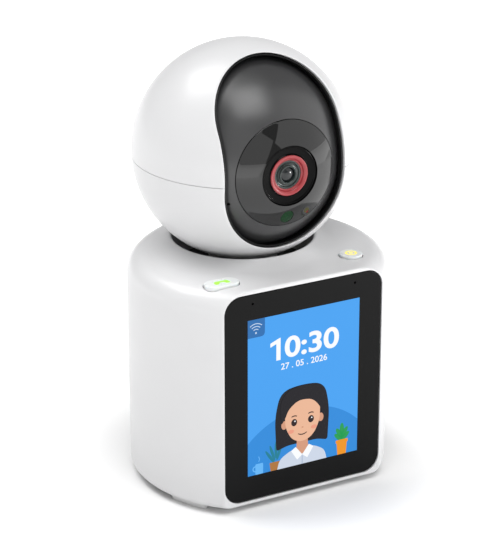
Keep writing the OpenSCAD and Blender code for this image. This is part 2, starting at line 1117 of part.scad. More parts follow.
module ball_cover() {
    color([0.06, 0.06, 0.06])
    at_head()
        difference() {
            intersection() {
                ball_shell(ball_r, ball_in);
                ball_slab();
                translate([-50, -50 - eps, -50])
                    cube([100, 50 + ball_split, 100]);
            }
            y_rod(-60, -10, window_r + 0.1);
            translate([mic_pos[0], 0, mic_pos[1]])
                y_rod(-60, -20, mic_r);
        }
}

module ball_rear() {
    color([0.15, 0.15, 0.15])
    at_head()
        difference() {
            intersection() {
                ball_shell(ball_r - 0.4, ball_in);
                ball_slab();
                translate([-50, ball_split + 0.1, -50])
                    cube([100, 50, 100]);
            }
            translate([0, 0, -12])
                y_rod(10, 60, 5);
        }
}

module ball_frame() {
    color([0.2, 0.2, 0.2])
    at_head()
        difference() {
            union() {
                x_rod(-ball_half, -cheek_in, cheek_r);
                x_rod(cheek_in, ball_half, cheek_r);
                translate([-cheek_in - eps, -cross_y, -13])
                    cube([2 * (cheek_in + eps), 2, 26]);
            }
            x_rod(-ball_half - 1, ball_half + 1, pivot_r + seat_gap);
            rotate([tilt_motor_angle, 0, 0])
                translate([0, tilt_centres, 0])
                    x_rod(-ball_half - 1, -cheek_in + 1, 2.6);
        }
}

// Window over the lens, a cap of the ball's own surface.
module lens_window() {
    color([0.1, 0.1, 0.1])
    at_head()
        difference() {
            intersection() {
                ball_shell(ball_r, ball_in + 0.2);
                y_rod(-60, -10, window_r);
            }
            y_rod(-60, -10, bezel_r + 0.1);
            translate([0, 0, -sensor_drop])
                y_rod(-60, -10, sensor_r + seat_gap);
            translate([led_x, 0, -sensor_drop])
                y_rod(-60, -10, led_r + seat_gap);
        }
}

module lens_bezel() {
    color([0.02, 0.02, 0.02])
    at_head()
        difference() {
            intersection() {
                lens_ring(red_r + seat_gap, bezel_r, 30.6, bezel_y);
                sphere(r = ball_r);
            }
            translate([0, -bezel_y - 0.9, 0])
                rotate([90, 0, 0])
                    translate([0, 0, -1.9])
                        cylinder(h = 1.9, r1 = red_r, r2 = bezel_r);
        }
}

module red_ring() {
    color("firebrick")
    at_head()
        lens_ring(5, red_r, 31.4, 33);
}

module lens_barrel() {
    color([0.1, 0.1, 0.1])
    at_head() {
        difference() {
            union() {
                y_rod(-32.4, -image_y - 2.5, barrel_r);
                lens_ring(barrel_r - 0.5, 5 - seat_gap, 30.8, 31.8);
            }
            y_rod(-33, -28, lens_r);
            y_rod(-28.5, -image_y, 1.5);
        }
    }
}

module lens_glass() {
    color([0.3, 0.35, 0.4])
    at_head()
        intersection() {
            y_rod(-34, -28.1, lens_r - seat_gap);
            translate([0, -26.9, 0])
                sphere(r = 5);
        }
}

module lens_holder() {
    color([0.1, 0.1, 0.1])
    at_head()
        difference() {
            standing(-holder_y, holder_y - image_y)
                round_rect(14, 14, 1.5);
            y_rod(-holder_y - 1, -image_y - 2, barrel_r + seat_gap);
            translate([-5, -image_y - 2.2, -5])
                cube([10, 3, 10]);
        }
}

module image_board() {
    color("darkgreen")
    at_head() {
        standing(-image_y, image_y - cross_y)
            square([30, 24], center = true);
        standing(-image_y - 0.9, 0.9 + eps)
            square([7, 7], center = true);
    }
}

module led_board() {
    color("darkgreen")
    at_head()
        difference() {
            lens_ring(11.4, 17.4, led_y, led_y + 1);
            translate([-sensor_r - gap, -led_y - 2, -18])
                cube([2 * (sensor_r + gap), 3, 8]);
        }
}

module ir_leds() {
    color("lightgray")
    at_head()
        for (a = [45, 135, 225, 315])
            rotate([0, a, 0])
                translate([14.4, 0, 0])
                    y_rod(-led_y - 2.4, -led_y - 1, 1.4);
}

module sensor_window() {
    color([0.05, 0.3, 0.12])
    at_head()
        intersection() {
            ball_shell(ball_r, ball_in + 0.2);
            translate([0, 0, -sensor_drop])
                y_rod(-60, -10, sensor_r);
        }
}

module status_led() {
    color("red")
    at_head()
        intersection() {
            ball_shell(ball_r, ball_in - 0.5);
            translate([led_x, 0, -sensor_drop])
                y_rod(-60, -10, led_r);
        }
}

// Motor inside the ball; its pinion rolls round the fixed tilt gear.
module tilt_motor() {
    color("silver")
    at_head()
        rotate([tilt_motor_angle, 0, 0]) {
            translate([0, tilt_centres - tilt_motor_offset, 0])
                x_rod(-cheek_in, -cheek_in + tilt_motor_l, tilt_motor_r);
            translate([0, tilt_centres, 0])
                x_rod(-ball_half + 0.3, -cheek_in + 1, 2.5);
        }
}

module tilt_pinion() {
    color("ivory")
    at_head()
        rotate([tilt_motor_angle, 0, 0])
            translate([0, tilt_centres, 0]) {
                translate([-tilt_gear_in - 2, 0, 0])
                    rotate([90, 0, 90])
                        linear_extrude(2)
                            rotate(180 + 180 / pinion_teeth)
                                gear_outline(pinion_teeth);
                x_rod(-tilt_gear_in, -ball_half + 0.1, 1.2);
            }
}

main_shell();
base_plate();
feet();
base_screws();
display_glass();
lcd_panel();
backlight();
display_bracket();
bracket_screws();
main_board();
processor_shield();
wifi_module();
board_screws();
usb_board();
usb_port();
speaker();
button_board();
button_switches();
button_board_screws();
call_button();
call_icon();
function_button();
function_icon();
chassis_plate();
chassis_screws();
pan_motor();
motor_screws();
pan_motor_shaft();
pan_pinion();
neck_plate();
neck_screws();
pan_bushing();
pan_hub();
hub_screws();
hub_clip();
pan_gear();
head_lower_shell();
head_upper_shell();
opening_liner();
tilt_bracket_left();
tilt_bracket_right();
tilt_bracket_screws();
tilt_gear();
ball_cover();
ball_rear();
ball_frame();
pivot_pins();
lens_window();
lens_bezel();
red_ring();
lens_barrel();
lens_glass();
lens_holder();
image_board();
led_board();
ir_leds();
sensor_window();
status_led();
tilt_motor();
tilt_pinion();
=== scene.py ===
"""Smart display with a pan and tilt camera head: the looks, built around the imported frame.

Lengths are in millimetres in the frame's axes (+Z up, the screen faces -Y) until a mesh is made.
"""

import json
import math
from contextlib import contextmanager

import bmesh
import bpy
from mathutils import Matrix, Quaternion, Vector


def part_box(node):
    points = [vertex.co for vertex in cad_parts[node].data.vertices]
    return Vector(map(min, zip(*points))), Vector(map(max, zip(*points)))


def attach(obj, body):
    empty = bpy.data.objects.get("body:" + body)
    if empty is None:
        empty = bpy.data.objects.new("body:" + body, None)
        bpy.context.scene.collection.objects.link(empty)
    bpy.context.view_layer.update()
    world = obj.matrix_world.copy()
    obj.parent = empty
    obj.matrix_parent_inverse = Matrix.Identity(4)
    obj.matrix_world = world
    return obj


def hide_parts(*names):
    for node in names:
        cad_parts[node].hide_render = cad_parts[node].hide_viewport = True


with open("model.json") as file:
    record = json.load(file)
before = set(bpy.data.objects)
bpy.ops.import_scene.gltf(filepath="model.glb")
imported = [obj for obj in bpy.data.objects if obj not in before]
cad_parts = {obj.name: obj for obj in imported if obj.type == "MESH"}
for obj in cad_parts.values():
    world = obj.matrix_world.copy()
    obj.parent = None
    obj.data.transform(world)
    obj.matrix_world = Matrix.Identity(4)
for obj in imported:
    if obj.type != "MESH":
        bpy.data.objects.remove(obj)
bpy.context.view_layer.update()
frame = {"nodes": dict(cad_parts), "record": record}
scene = bpy.context.scene
MM = 0.001


# ---- Sizes, from the frame --------------------------------------------------

def box_mm(node):
    low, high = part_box(node)
    return low / MM, high / MM


shell_low, shell_high = box_mm("main_shell")
glass_low, glass_high = box_mm("display_glass")
button_high = box_mm("call_button")[1]
head_high = box_mm("head_upper_shell")[1]
ball_high = box_mm("ball_cover")[1]
window_high = box_mm("lens_window")[1]
bezel_low, bezel_high = box_mm("lens_bezel")

BODY_R = shell_high.x
FRONT_Y = shell_low.y
SHELL_Z = shell_low.z
CROWN_Z = shell_high.z
BUTTON_PROUD = 0.9
DECK_Z = button_high.z - BUTTON_PROUD
TOP_ROUND = 7.0
BOTTOM_ROUND = 2.5
WALL = 2.0
BASE_WALL = 2.2
BASE_GAP = 0.2
FRONT_WALL = 3.5
FRONT_IN = FRONT_Y + FRONT_WALL

HEAD_R = head_high.x
HEAD = Vector((0, head_high.y - HEAD_R, head_high.z - HEAD_R))
SPHERE_WALL = 1.8
HEAD_IN = HEAD_R - SPHERE_WALL
SPLIT_Z = HEAD.z - 1.5
OPENING_W, OPENING_H = 45.6, 66.0
OPENING_TILT = math.radians(13.5)

BALL_R = ball_high.z - HEAD.z
BALL_IN = BALL_R - SPHERE_WALL
BALL_HALF = 25.0
WINDOW_R = window_high.x
BEZEL_R = bezel_high.x
RED_R = box_mm("red_ring")[1].x
BARREL_R = 3.3

THROAT_R = 24.8
THROAT_FOOT_Z = 68.0
NOSE_R = CROWN_Z - DECK_Z - 1.45
FLARE_R = 34.0
FLARE_CURVE = 16.0

GLASS_Y = glass_low.y
GLASS_BACK = glass_high.y
GLASS_Z = (glass_low.z + glass_high.z) / 2
GLASS_W = glass_high.x - glass_low.x
GLASS_H = glass_high.z - glass_low.z
GLASS_CORNER = 6.0
GLASS_SEAT = 0.2
SCREEN_W, SCREEN_H = 43.2, 57.6
LCD_POCKET_W, LCD_POCKET_H = 51.6, 70.8


# ---- Frames of reference ----------------------------------------------------

def as_is(x, y, z):
    return Vector((x, y, z))


def facing_front(x, up, out):
    """Points on plates that stand up and face -Y: across, up, and towards the viewer."""
    return Vector((x, -out, up))


def about_head(x, y, z):
    """The vertical axis through the sphere's centre."""
    return Vector((x, HEAD.y + y, z))


def on_lens(x, up, out):
    """The lens axis: out is forward of the ball's centre."""
    return HEAD + Vector((x, -out, up))


def on_opening(x, up, out):
    """The sphere's opening, which looks a little upwards."""
    c, s = math.cos(OPENING_TILT), math.sin(OPENING_TILT)
    return HEAD + Vector((x, -out * c + up * s, out * s + up * c))


# ---- Outlines, as functions of how far they are pulled in --------------------

def arc(cx, cy, r, start, end, steps):
    """Points on an arc, angles in degrees, both ends kept."""
    angles = [math.radians(start + (end - start) * i / steps) for i in range(steps + 1)]
    return [(cx + r * math.cos(a), cy + r * math.sin(a)) for a in angles]


def bend(start, corner, end, t):
    """A place on the smooth curve from start to end that is drawn towards corner; t is 0 to 1."""
    return start * (1 - t) ** 2 + corner * 2 * t * (1 - t) + end * t * t


def round_rect(w, h, r, cx=0.0, cy=0.0, steps=10):
    def outline(inset=0.0):
        x, y = w / 2 - r, h / 2 - r
        corners = [(x, y, 0), (-x, y, 90), (-x, -y, 180), (x, -y, 270)]
        return [
            point
            for px, py, start in corners
            for point in arc(cx + px, cy + py, r - inset, start, start + 90, steps)
        ]
    return outline


def disc(r, cx=0.0, cy=0.0, steps=64):
    def outline(inset=0.0):
        return arc(cx, cy, r - inset, 0, 360 * (steps - 1) / steps, steps - 1)
    return outline


def smooth_corners(corners, radius, steps=5):
    """A closed outline with each corner rounded; corners are (x, y) or (x, y, radius)."""
    points = []
    count = len(corners)
    for i, corner in enumerate(corners):
        here = Vector(corner[:2])
        r = corner[2] if len(corner) > 2 else radius
        before = Vector(corners[i - 1][:2]) - here
        after = Vector(corners[(i + 1) % count][:2]) - here
        reach = min(r, before.length * 0.49, after.length * 0.49)
        a = here + before.normalized() * reach
        b = here + after.normalized() * reach
        if reach < 1e-6:
            points.append(tuple(here))
            continue
        for k in range(steps + 1):
            points.append(tuple(bend(a, here, b, k / steps)))
    return points


def fixed(points):
    """An outline that isn't pulled in."""
    return lambda inset=0.0: points


# ---- Mesh building ----------------------------------------------------------

def add_mesh(name, verts, faces):
    mesh = bpy.data.meshes.new(name)
    mesh.from_pydata([tuple(Vector(v) * MM) for v in verts], [], faces)
    mesh.validate()
    obj = bpy.data.objects.new(name, mesh)
    scene.collection.objects.link(obj)
    face_outwards(obj)
    return obj


@contextmanager
def edited(mesh):
    """A mesh opened as a BMesh, and written back at the end."""
    bm = bmesh.new()
    bm.from_mesh(mesh)
    yield bm
    bm.to_mesh(mesh)
    bm.free()


def face_outwards(obj):
    with edited(obj.data) as bm:
        bmesh.ops.remove_doubles(bm, verts=bm.verts, dist=1e-7)
        bmesh.ops.recalc_face_normals(bm, faces=bm.faces)


def loft(name, rings, closed=False, caps=True):
    """Skin over rings of equal length; a ring of one point is a pole."""
    verts, starts = [], []
    for ring in rings:
        starts.append(len(verts))
        verts += ring
    faces = []
    pairs = list(zip(range(len(rings) - 1), range(1, len(rings))))
    if closed:
        pairs.append((len(rings) - 1, 0))
    for a, b in pairs:
        n = max(len(rings[a]), len(rings[b]))
        for i in range(n):
            j = (i + 1) % n
            if len(rings[a]) == 1:
                faces.append((starts[a], starts[b] + i, starts[b] + j))
            elif len(rings[b]) == 1:
                faces.append((starts[a] + i, starts[b], starts[a] + j))
            else:
                faces.append((starts[a] + i, starts[b] + i, starts[b] + j, starts[a] + j))
    if caps and not closed:
        for k in (0, len(rings) - 1):
            if len(rings[k]) > 1:
                faces.append(tuple(range(starts[k], starts[k] + len(rings[k]))))
    return add_mesh(name, verts, faces)


def lathe(name, profile, place=as_is, steps=96, closed=True):
    """Turns a profile of (radius, height) about the frame's third axis."""
    rings = []
    for r, h in profile:
        if r < 1e-6:
            rings.append([place(0, 0, h)])
        else:
            turns = [2 * math.pi * i / steps for i in range(steps)]
            rings.append([place(r * math.cos(a), r * math.sin(a), h) for a in turns])
    return loft(name, rings, closed=closed, caps=False)


def plate(name, outline, low, high, edge=0.0, under=0.0, place=as_is, steps=4):
    """A plate from an outline, with a rounded upper edge and, where asked, a lower one."""
    rows = []
    for k in range(steps + 1 if under else 1):
        a = math.pi / 2 * k / steps
        rows.append((under * (1 - math.sin(a)), low + under * (1 - math.cos(a))))
    for k in range(steps + 1 if edge else 1):
        a = math.pi / 2 * k / steps
        rows.append((edge * (1 - math.cos(a)), high - edge * (1 - math.sin(a))))
    rings = [[place(x, y, h) for x, y in outline(inset)] for inset, h in rows]
    return loft(name, rings)


def sphere_height(r, radius):
    return math.sqrt(max(radius * radius - r * r, 0.0))


def join(name, objs):
    """One object from several, each with its mesh in place."""
    bm = bmesh.new()
    for o in objs:
        bm.from_mesh(o.data)
        bpy.data.objects.remove(o)
    mesh = bpy.data.meshes.new(name)
    bm.to_mesh(mesh)
    bm.free()
    obj = bpy.data.objects.new(name, mesh)
    scene.collection.objects.link(obj)
    return obj


def heal(mesh, sliver=5e-7):
    """Closes the slivers that a Boolean can leave; sliver is in metres."""
    with edited(mesh) as bm:
        bmesh.ops.remove_doubles(bm, verts=bm.verts, dist=sliver)
        bmesh.ops.dissolve_degenerate(bm, edges=bm.edges, dist=sliver)
        bmesh.ops.holes_fill(bm, edges=[e for e in bm.edges if e.is_boundary], sides=8)


def carve(obj, cutters, operation="DIFFERENCE"):
    """Exact Booleans, one after another, applied to the mesh."""
    for cutter in cutters:
        mod = obj.modifiers.new("carve", "BOOLEAN")
        mod.object = cutter
        mod.operation = operation
        mod.solver = "EXACT"
    bpy.context.view_layer.update()
    evaluated = obj.evaluated_get(bpy.context.evaluated_depsgraph_get())
    mesh = bpy.data.meshes.new_from_object(evaluated)
    obj.modifiers.clear()
    obj.data = mesh
    heal(mesh)
    for cutter in cutters:
        bpy.data.objects.remove(cutter)
    return obj


def cut_plane(bm, point, normal, dist=1e-6):
    """Clears what lies on the side that normal points to, and gives the cut's edges."""
    bmesh.ops.bisect_plane(
        bm, geom=bm.verts[:] + bm.edges[:] + bm.faces[:], dist=dist,
        plane_co=Vector(point) * MM, plane_no=Vector(normal), clear_outer=True,
    )
    return [e for e in bm.edges if e.is_boundary]


def slice_off(obj, point, normal):
    """Cuts away what lies on the side that normal points to, and closes the cut."""
    with edited(obj.data) as bm:
        edges = cut_plane(bm, point, normal)
        bmesh.ops.triangle_fill(bm, edges=edges, use_beauty=True)
        bmesh.ops.recalc_face_normals(bm, faces=bm.faces)
    return obj


def grow_strip(bm, edges, path):
    """Adds a strip of faces to open edges and gives its far rim.

    path takes a point and gives the points that follow it, all in millimetres.
    """
    chains = {}
    for v in dict.fromkeys(v for e in edges for v in e.verts):
        chains[v] = [v] + [bm.verts.new(p * MM) for p in path(Vector(v.co) / MM)]
    rim = []
    for e in edges:
        a, b = chains[e.verts[0]], chains[e.verts[1]]
        for k in range(len(a) - 1):
            bm.faces.new((a[k], b[k], b[k + 1], a[k + 1]))
        rim.append(bm.edges.get((a[-1], b[-1])))
    return rim


def shade(obj, sharp=32.0, weighted=True):
    mesh = obj.data
    mesh.shade_smooth()
    mesh.set_sharp_from_angle(angle=math.radians(sharp))
    if weighted:
        mod = obj.modifiers.new("weighted normals", "WEIGHTED_NORMAL")
        mod.keep_sharp = True
        mod.weight = 80
    return obj


def piece(obj, body, slot, replaces=(), sharp=32.0, finish=None):
    """Gives a finished mesh its shading, the material of its finish or slot, and its body."""
    shade(obj, sharp)
    obj.data.materials.clear()
    obj.data.materials.append(MATERIALS[finish or slot])
    for polygon in obj.data.polygons:
        polygon.material_index = 0
    if replaces:
        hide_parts(*replaces)
    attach(obj, body)
    return obj


# ---- Materials --------------------------------------------------------------

def linear(value):
    """One sRGB channel, 0 to 255, in linear light."""
    v = value / 255
    return v / 12.92 if v <= 0.04045 else ((v + 0.055) / 1.055) ** 2.4


def srgb(r, g, b):
    return (linear(r), linear(g), linear(b), 1.0)


class Shader:
    """A Principled material with its node tree at hand."""

    def __init__(self, name, colour, roughness, **sockets):
        self.material = bpy.data.materials.new(name)
        self.material.use_nodes = True
        self.tree = self.material.node_tree
        self.bsdf = self.tree.nodes["Principled BSDF"]
        self.colour = colour
        self.roughness = roughness
        self.bsdf.inputs["Base Color"].default_value = colour
        self.bsdf.inputs["Roughness"].default_value = roughness
        for socket, value in sockets.items():
            self.bsdf.inputs[socket.replace("_", " ")].default_value = value
        self.coords = self.tree.nodes.new("ShaderNodeTexCoord").outputs["Object"]

    def node(self, kind, **settings):
        """A node; each setting is an input, with _ for a space, or else a property."""
        made = self.tree.nodes.new("ShaderNode" + kind)
        for key, value in settings.items():
            label = key.replace("_", " ")
            if label in made.inputs:
                made.inputs[label].default_value = value
            else:
                setattr(made, key, value)
        return made

    def link(self, a, b):
        self.tree.links.new(a, b)

    def noise(self, size, detail=2.0, stretch=(1, 1, 1)):
        """Noise whose features are about size millimetres across."""
        mapping = self.node("Mapping", Scale=[s / (size * MM) for s in stretch])
        self.link(self.coords, mapping.inputs["Vector"])
        texture = self.node("TexNoise", Detail=detail, Scale=1.0)
        self.link(mapping.outputs["Vector"], texture.inputs["Vector"])
        return texture.outputs["Fac"]

    def spread(self, value, low, high):
        """Maps 0.3..0.7 of a noise on to low..high."""
        ramp = self.node("MapRange", From_Min=0.3, From_Max=0.7, To_Min=low, To_Max=high)
        self.link(value, ramp.inputs["Value"])
        return ramp.outputs["Result"]

    def mottle(self, size, amount):
        """Slight variation of the base colour."""
        level = self.spread(self.noise(size, 4.0), 1 - amount, 1.0)
        self.link(multiplied(self, self.colour, level), self.bsdf.inputs["Base Color"])
        return self

    def uneven(self, size, amount):
        """Variation of the roughness, as handling and moulding leave it."""
        level = self.spread(self.noise(size, 5.0), self.roughness - amount, self.roughness + amount)
        self.link(level, self.bsdf.inputs["Roughness"])
        return self

    def grain(self, size, depth, stretch=(1, 1, 1), detail=2.0):
        """Fine moulded texture; depth is in millimetres."""
        bump = self.node("Bump", Strength=1.0, Distance=depth * MM)
        self.link(self.noise(size, detail, stretch), bump.inputs["Height"])
        self.link(bump.outputs["Normal"], self.bsdf.inputs["Normal"])
        return self

    def glow(self, colour, strength):
        self.bsdf.inputs["Emission Color"].default_value = colour
        self.bsdf.inputs["Emission Strength"].default_value = strength
        return self


def multiplied(s, colour, level):
    """A colour darkened by a grey level, as a socket."""
    grey = s.node("CombineColor")
    for channel in ("Red", "Green", "Blue"):
        s.link(level, grey.inputs[channel])
    mix = s.node("Mix", data_type="RGBA", blend_type="MULTIPLY", Factor=1.0)
    mix.inputs[6].default_value = colour
    s.link(grey.outputs["Color"], mix.inputs[7])
    return mix.outputs[2]


def circuit_board():
    """Green solder mask over a maze of copper tracks."""
    s = Shader("circuit_board", srgb(18, 74, 42), 0.42, Coat_Weight=0.3)
    brick = s.node("TexBrick", offset=0.37, squash=1.6, Scale=260.0, Mortar_Size=0.035,
                   Color1=srgb(17, 70, 40), Color2=srgb(20, 82, 46), Mortar=srgb(42, 118, 66))
    turned = s.node("Mapping", Rotation=(math.radians(90), 0, 0))
    s.link(s.coords, turned.inputs["Vector"])
    s.link(turned.outputs["Vector"], brick.inputs["Vector"])
    s.link(brick.outputs["Color"], s.bsdf.inputs["Base Color"])
    bump = s.node("Bump", Distance=0.03 * MM)
    s.link(brick.outputs["Fac"], bump.inputs["Height"])
    s.link(bump.outputs["Normal"], s.bsdf.inputs["Normal"])
    return s.uneven(4, 0.08)


def brushed(name, colour, roughness, along):
    """Metal with fine drawn lines."""
    s = Shader(name, colour, roughness, Metallic=1.0)
    return s.mottle(3, 0.12).uneven(1.5, 0.08).grain(0.25, 0.004, along, 3.0)


def lit(name, colour):
    """Part of the screen's picture, behind glossy glass."""
    s = Shader(name, (0.004, 0.004, 0.004, 1), 0.2, Specular_IOR_Level=0.1)
    level = s.spread(s.noise(30, 1.0), 0.985, 1.0)
    s.link(multiplied(s, colour, level), s.bsdf.inputs["Emission Color"])
    s.bsdf.inputs["Emission Strength"].default_value = 1.0
    return s.uneven(8, 0.02).material


def make_materials():
    made = {
        "white_shell": Shader("white_shell", srgb(207, 207, 208), 0.34, Coat_Weight=0.12, Coat_Roughness=0.25)
        .mottle(40, 0.02).uneven(12, 0.04).grain(0.35, 0.006),
        "button_cap": Shader("button_cap", srgb(222, 222, 222), 0.30, Subsurface_Weight=0.08)
        .mottle(6, 0.02).uneven(3, 0.05).grain(0.25, 0.004),
        "icon_green": Shader("icon_green", srgb(120, 200, 40), 0.35)
        .mottle(1.2, 0.18).glow(srgb(150, 232, 52), 0.85),
        "icon_yellow": Shader("icon_yellow", srgb(226, 214, 96), 0.35)
        .mottle(1.2, 0.18).glow(srgb(240, 226, 110), 0.6),
        "foot_rubber": Shader("foot_rubber", srgb(214, 214, 214), 0.6)
        .mottle(3, 0.08).uneven(1, 0.08).grain(0.2, 0.02),
        "steel": brushed("steel", srgb(186, 188, 192), 0.32, (1, 1, 0.08)),
        "motor_can": brushed("motor_can", srgb(168, 170, 175), 0.38, (0.08, 1, 1)),
        "front_glass": Shader("front_glass", srgb(14, 14, 14), 0.22, Specular_IOR_Level=0.1)
        .mottle(30, 0.05).uneven(18, 0.05),
        "screen": Shader("screen", srgb(60, 130, 200), 0.25).mottle(10, 0.05).uneven(6, 0.05),
        "light_guide": Shader("light_guide", srgb(236, 238, 240), 0.4, Subsurface_Weight=0.15)
        .mottle(5, 0.04).grain(0.4, 0.01),
        "dark_plastic": Shader("dark_plastic", srgb(48, 49, 51), 0.5)
        .mottle(8, 0.12).uneven(4, 0.08).grain(0.3, 0.015),
        "gear_plastic": Shader("gear_plastic", srgb(226, 221, 205), 0.42, Subsurface_Weight=0.1)
        .mottle(6, 0.05).uneven(3, 0.06).grain(0.3, 0.006),
        "liner_black": Shader("liner_black", srgb(13, 13, 14), 0.45)
        .mottle(6, 0.2).uneven(3, 0.06).grain(0.25, 0.01),
        "ball_black": Shader("ball_black", srgb(42, 42, 43), 0.36, Coat_Weight=0.5, Coat_Roughness=0.3)
        .mottle(20, 0.04).uneven(9, 0.04).grain(0.4, 0.003),
        "window_black": Shader("window_black", srgb(13, 13, 13), 0.03, Specular_IOR_Level=0.62)
        .mottle(12, 0.1).uneven(10, 0.015),
        "bezel_black": Shader("bezel_black", srgb(4, 4, 4), 0.16, Specular_IOR_Level=0.08)
        .mottle(4, 0.2).uneven(2, 0.03),
        # Dark barrel whose grey-green tint is a painted reflection of the sheen inside the lens.
        "barrel_painted_reflection": Shader("barrel_painted_reflection", srgb(42, 52, 50), 0.28).mottle(3, 0.15).uneven(2, 0.05),
        "red_trim": Shader("red_trim", srgb(150, 38, 44), 0.36, Coat_Weight=0.2)
        .mottle(2.5, 0.12).uneven(1.5, 0.05).grain(0.2, 0.004),
        "lens_clear": Shader("lens_clear", srgb(26, 30, 32), 0.04, Specular_IOR_Level=0.5)
        .mottle(3, 0.2).uneven(3, 0.01),
        "sensor_green": Shader("sensor_green", srgb(6, 48, 20), 0.15, Specular_IOR_Level=0.2)
        .mottle(2, 0.2).uneven(2, 0.03),
        "led_red": Shader("led_red", srgb(96, 12, 12), 0.3, Specular_IOR_Level=0.2)
        .mottle(0.6, 0.2).glow(srgb(150, 16, 16), 0.06),
    }
    made["circuit_board"] = circuit_board()
    return {name: shader.material for name, shader in made.items()}


MATERIALS = make_materials()


def dress_cad_nodes():
    """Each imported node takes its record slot's material; pieces made below replace some."""
    for row in frame["record"]["subparts"]:
        node = frame["nodes"][row["node"]]
        node.data.materials.clear()
        node.data.materials.append(MATERIALS[row["material_slot"]])


# ---- Body shell -------------------------------------------------------------

COLUMNS = 240
FRONT_EDGE = 0.8


def column_angles():
    """Even angles about the vertical, with one column on each side of the front cut."""
    cut = math.atan2(FRONT_Y + FRONT_EDGE, math.sqrt(BODY_R ** 2 - (FRONT_Y + FRONT_EDGE) ** 2))
    targets = [cut % (2 * math.pi), (math.pi - cut) % (2 * math.pi)]
    angles = [2 * math.pi * i / COLUMNS for i in range(COLUMNS)]
    for target in targets:
        nearest = min(range(COLUMNS), key=lambda i: abs(angles[i] - target))
        angles[nearest] = target
    return angles


ANGLES = column_angles()


def ring(radius, z, cy=0.0):
    return [Vector((radius * math.cos(a), cy + radius * math.sin(a), z)) for a in ANGLES]


def flare_height(rho):
    """Rise of the neck's concave flare above the deck."""
    if rho >= FLARE_R:
        return 0.0
    return FLARE_CURVE - math.sqrt(FLARE_CURVE ** 2 - (FLARE_R - rho) ** 2)


def neck_rings():
    """Throat wall and rounded nose, up to where the flare begins."""
    nose_x = THROAT_R + NOSE_R
    drop = math.sqrt((FLARE_CURVE + NOSE_R) ** 2 - (FLARE_R - nose_x) ** 2)
    nose_z = DECK_Z + FLARE_CURVE - drop
    touch = math.degrees(math.atan2(drop, FLARE_R - nose_x))
    rings = [[Vector((0, HEAD.y, THROAT_FOOT_Z))]]
    rings += [ring(THROAT_R, THROAT_FOOT_Z + rise, HEAD.y) for rise in (0.0, 8.0)]
    for x, z in arc(nose_x, nose_z, NOSE_R, 180, touch, 9):
        rings.append(ring(x, z, HEAD.y))
    return rings, nose_x + NOSE_R * math.cos(math.radians(touch))


def deck_rings(inner, outer, deck_z, flared, rows=26):
    """Rows across the deck from a circle about the head to one about the body."""
    rings = []
    for k in range(1, rows + 1):
        t = k / rows
        points = []
        for a in ANGLES:
            start = Vector((inner * math.cos(a), HEAD.y + inner * math.sin(a)))
            end = Vector((outer * math.cos(a), outer * math.sin(a)))
            p = start.lerp(end, t)
            rho = (p - Vector((0, HEAD.y))).length
            points.append(Vector((p.x, p.y, deck_z + (flare_height(rho) if flared else 0.0))))
        rings.append(points)
    return rings


def drum_rings(radius, top_z, bottom_z, top_round, bottom_round, edge_rise):
    """Rounded top edge, side, rounded bottom edge and the underside's pole."""
    rings = []
    core = radius - top_round
    for k in range(1, 13):
        a = math.pi / 2 * k / 12
        points = []
        for i, turn in enumerate(ANGLES):
            r = core + top_round * math.sin(a)
            z = top_z - top_round * (1 - math.cos(a)) + edge_rise[i] * (1 - math.sin(a)) ** 2
            points.append(Vector((r * math.cos(turn), r * math.sin(turn), z)))
        rings.append(points)
    for k in range(1, 7):
        z = top_z - top_round + (bottom_z + bottom_round - top_z + top_round) * k / 6
        rings.append(ring(radius, z))
    for k in range(1, 10):
        a = math.pi / 2 * k / 9
        z = bottom_z + bottom_round * (1 - math.sin(a))
        rings.append(ring(radius - bottom_round * (1 - math.cos(a)), z))
    rings.append([Vector((0, 0, bottom_z))])
    return rings


def surface_normal(p):
    """Outward direction of the drum at a point on it."""
    r = math.hypot(p.x, p.y)
    if p.z > DECK_Z - TOP_ROUND:
        out, up = max(r - BODY_R + TOP_ROUND, 0.0), p.z - DECK_Z + TOP_ROUND
    elif p.z < SHELL_Z + BOTTOM_ROUND:
        out, up = max(r - BODY_R + BOTTOM_ROUND, 0.0), p.z - SHELL_Z - BOTTOM_ROUND
    else:
        out, up = 1.0, 0.0
    return Vector((p.x / r * out, p.y / r * out, up)).normalized()


def pocket_distance(x, z):
    """Distance from a point on the front plane to the glass pocket's outline."""
    w, h, r = GLASS_W / 2 + GLASS_SEAT, GLASS_H / 2 + GLASS_SEAT, GLASS_CORNER + GLASS_SEAT
    dx, dz = abs(x) - (w - r), abs(z - GLASS_Z) - (h - r)
    return math.hypot(max(dx, 0.0), max(dz, 0.0)) + min(max(dx, dz), 0.0) - r


def front_fillet(p0, steps=6):
    """Points that round the cut edge over to the flat front, stopping short of the glass pocket."""
    normal = surface_normal(p0)
    across = Vector((normal.x, 0, normal.z))
    slope = normal.y / across.length
    across.normalize()
    p1 = p0 + (Vector((0, -1, 0)) + across * slope) * FRONT_EDGE
    reach = min(FRONT_EDGE, 0.75 * pocket_distance(p1.x, p1.z))
    p2 = p1 - across * max(reach, 0.05)
    return [bend(p0, p1, p2, k / steps) for k in range(1, steps + 1)]


def flatten_front(obj):
    """Cuts the flat front and rounds its edge over to it."""
    with edited(obj.data) as bm:
        edges = cut_plane(bm, (0, FRONT_Y + FRONT_EDGE, 0), (0, -1, 0), 2e-6)
        rim = grow_strip(bm, edges, front_fillet)
        bmesh.ops.contextual_create(bm, geom=rim)
        bmesh.ops.recalc_face_normals(bm, faces=bm.faces)


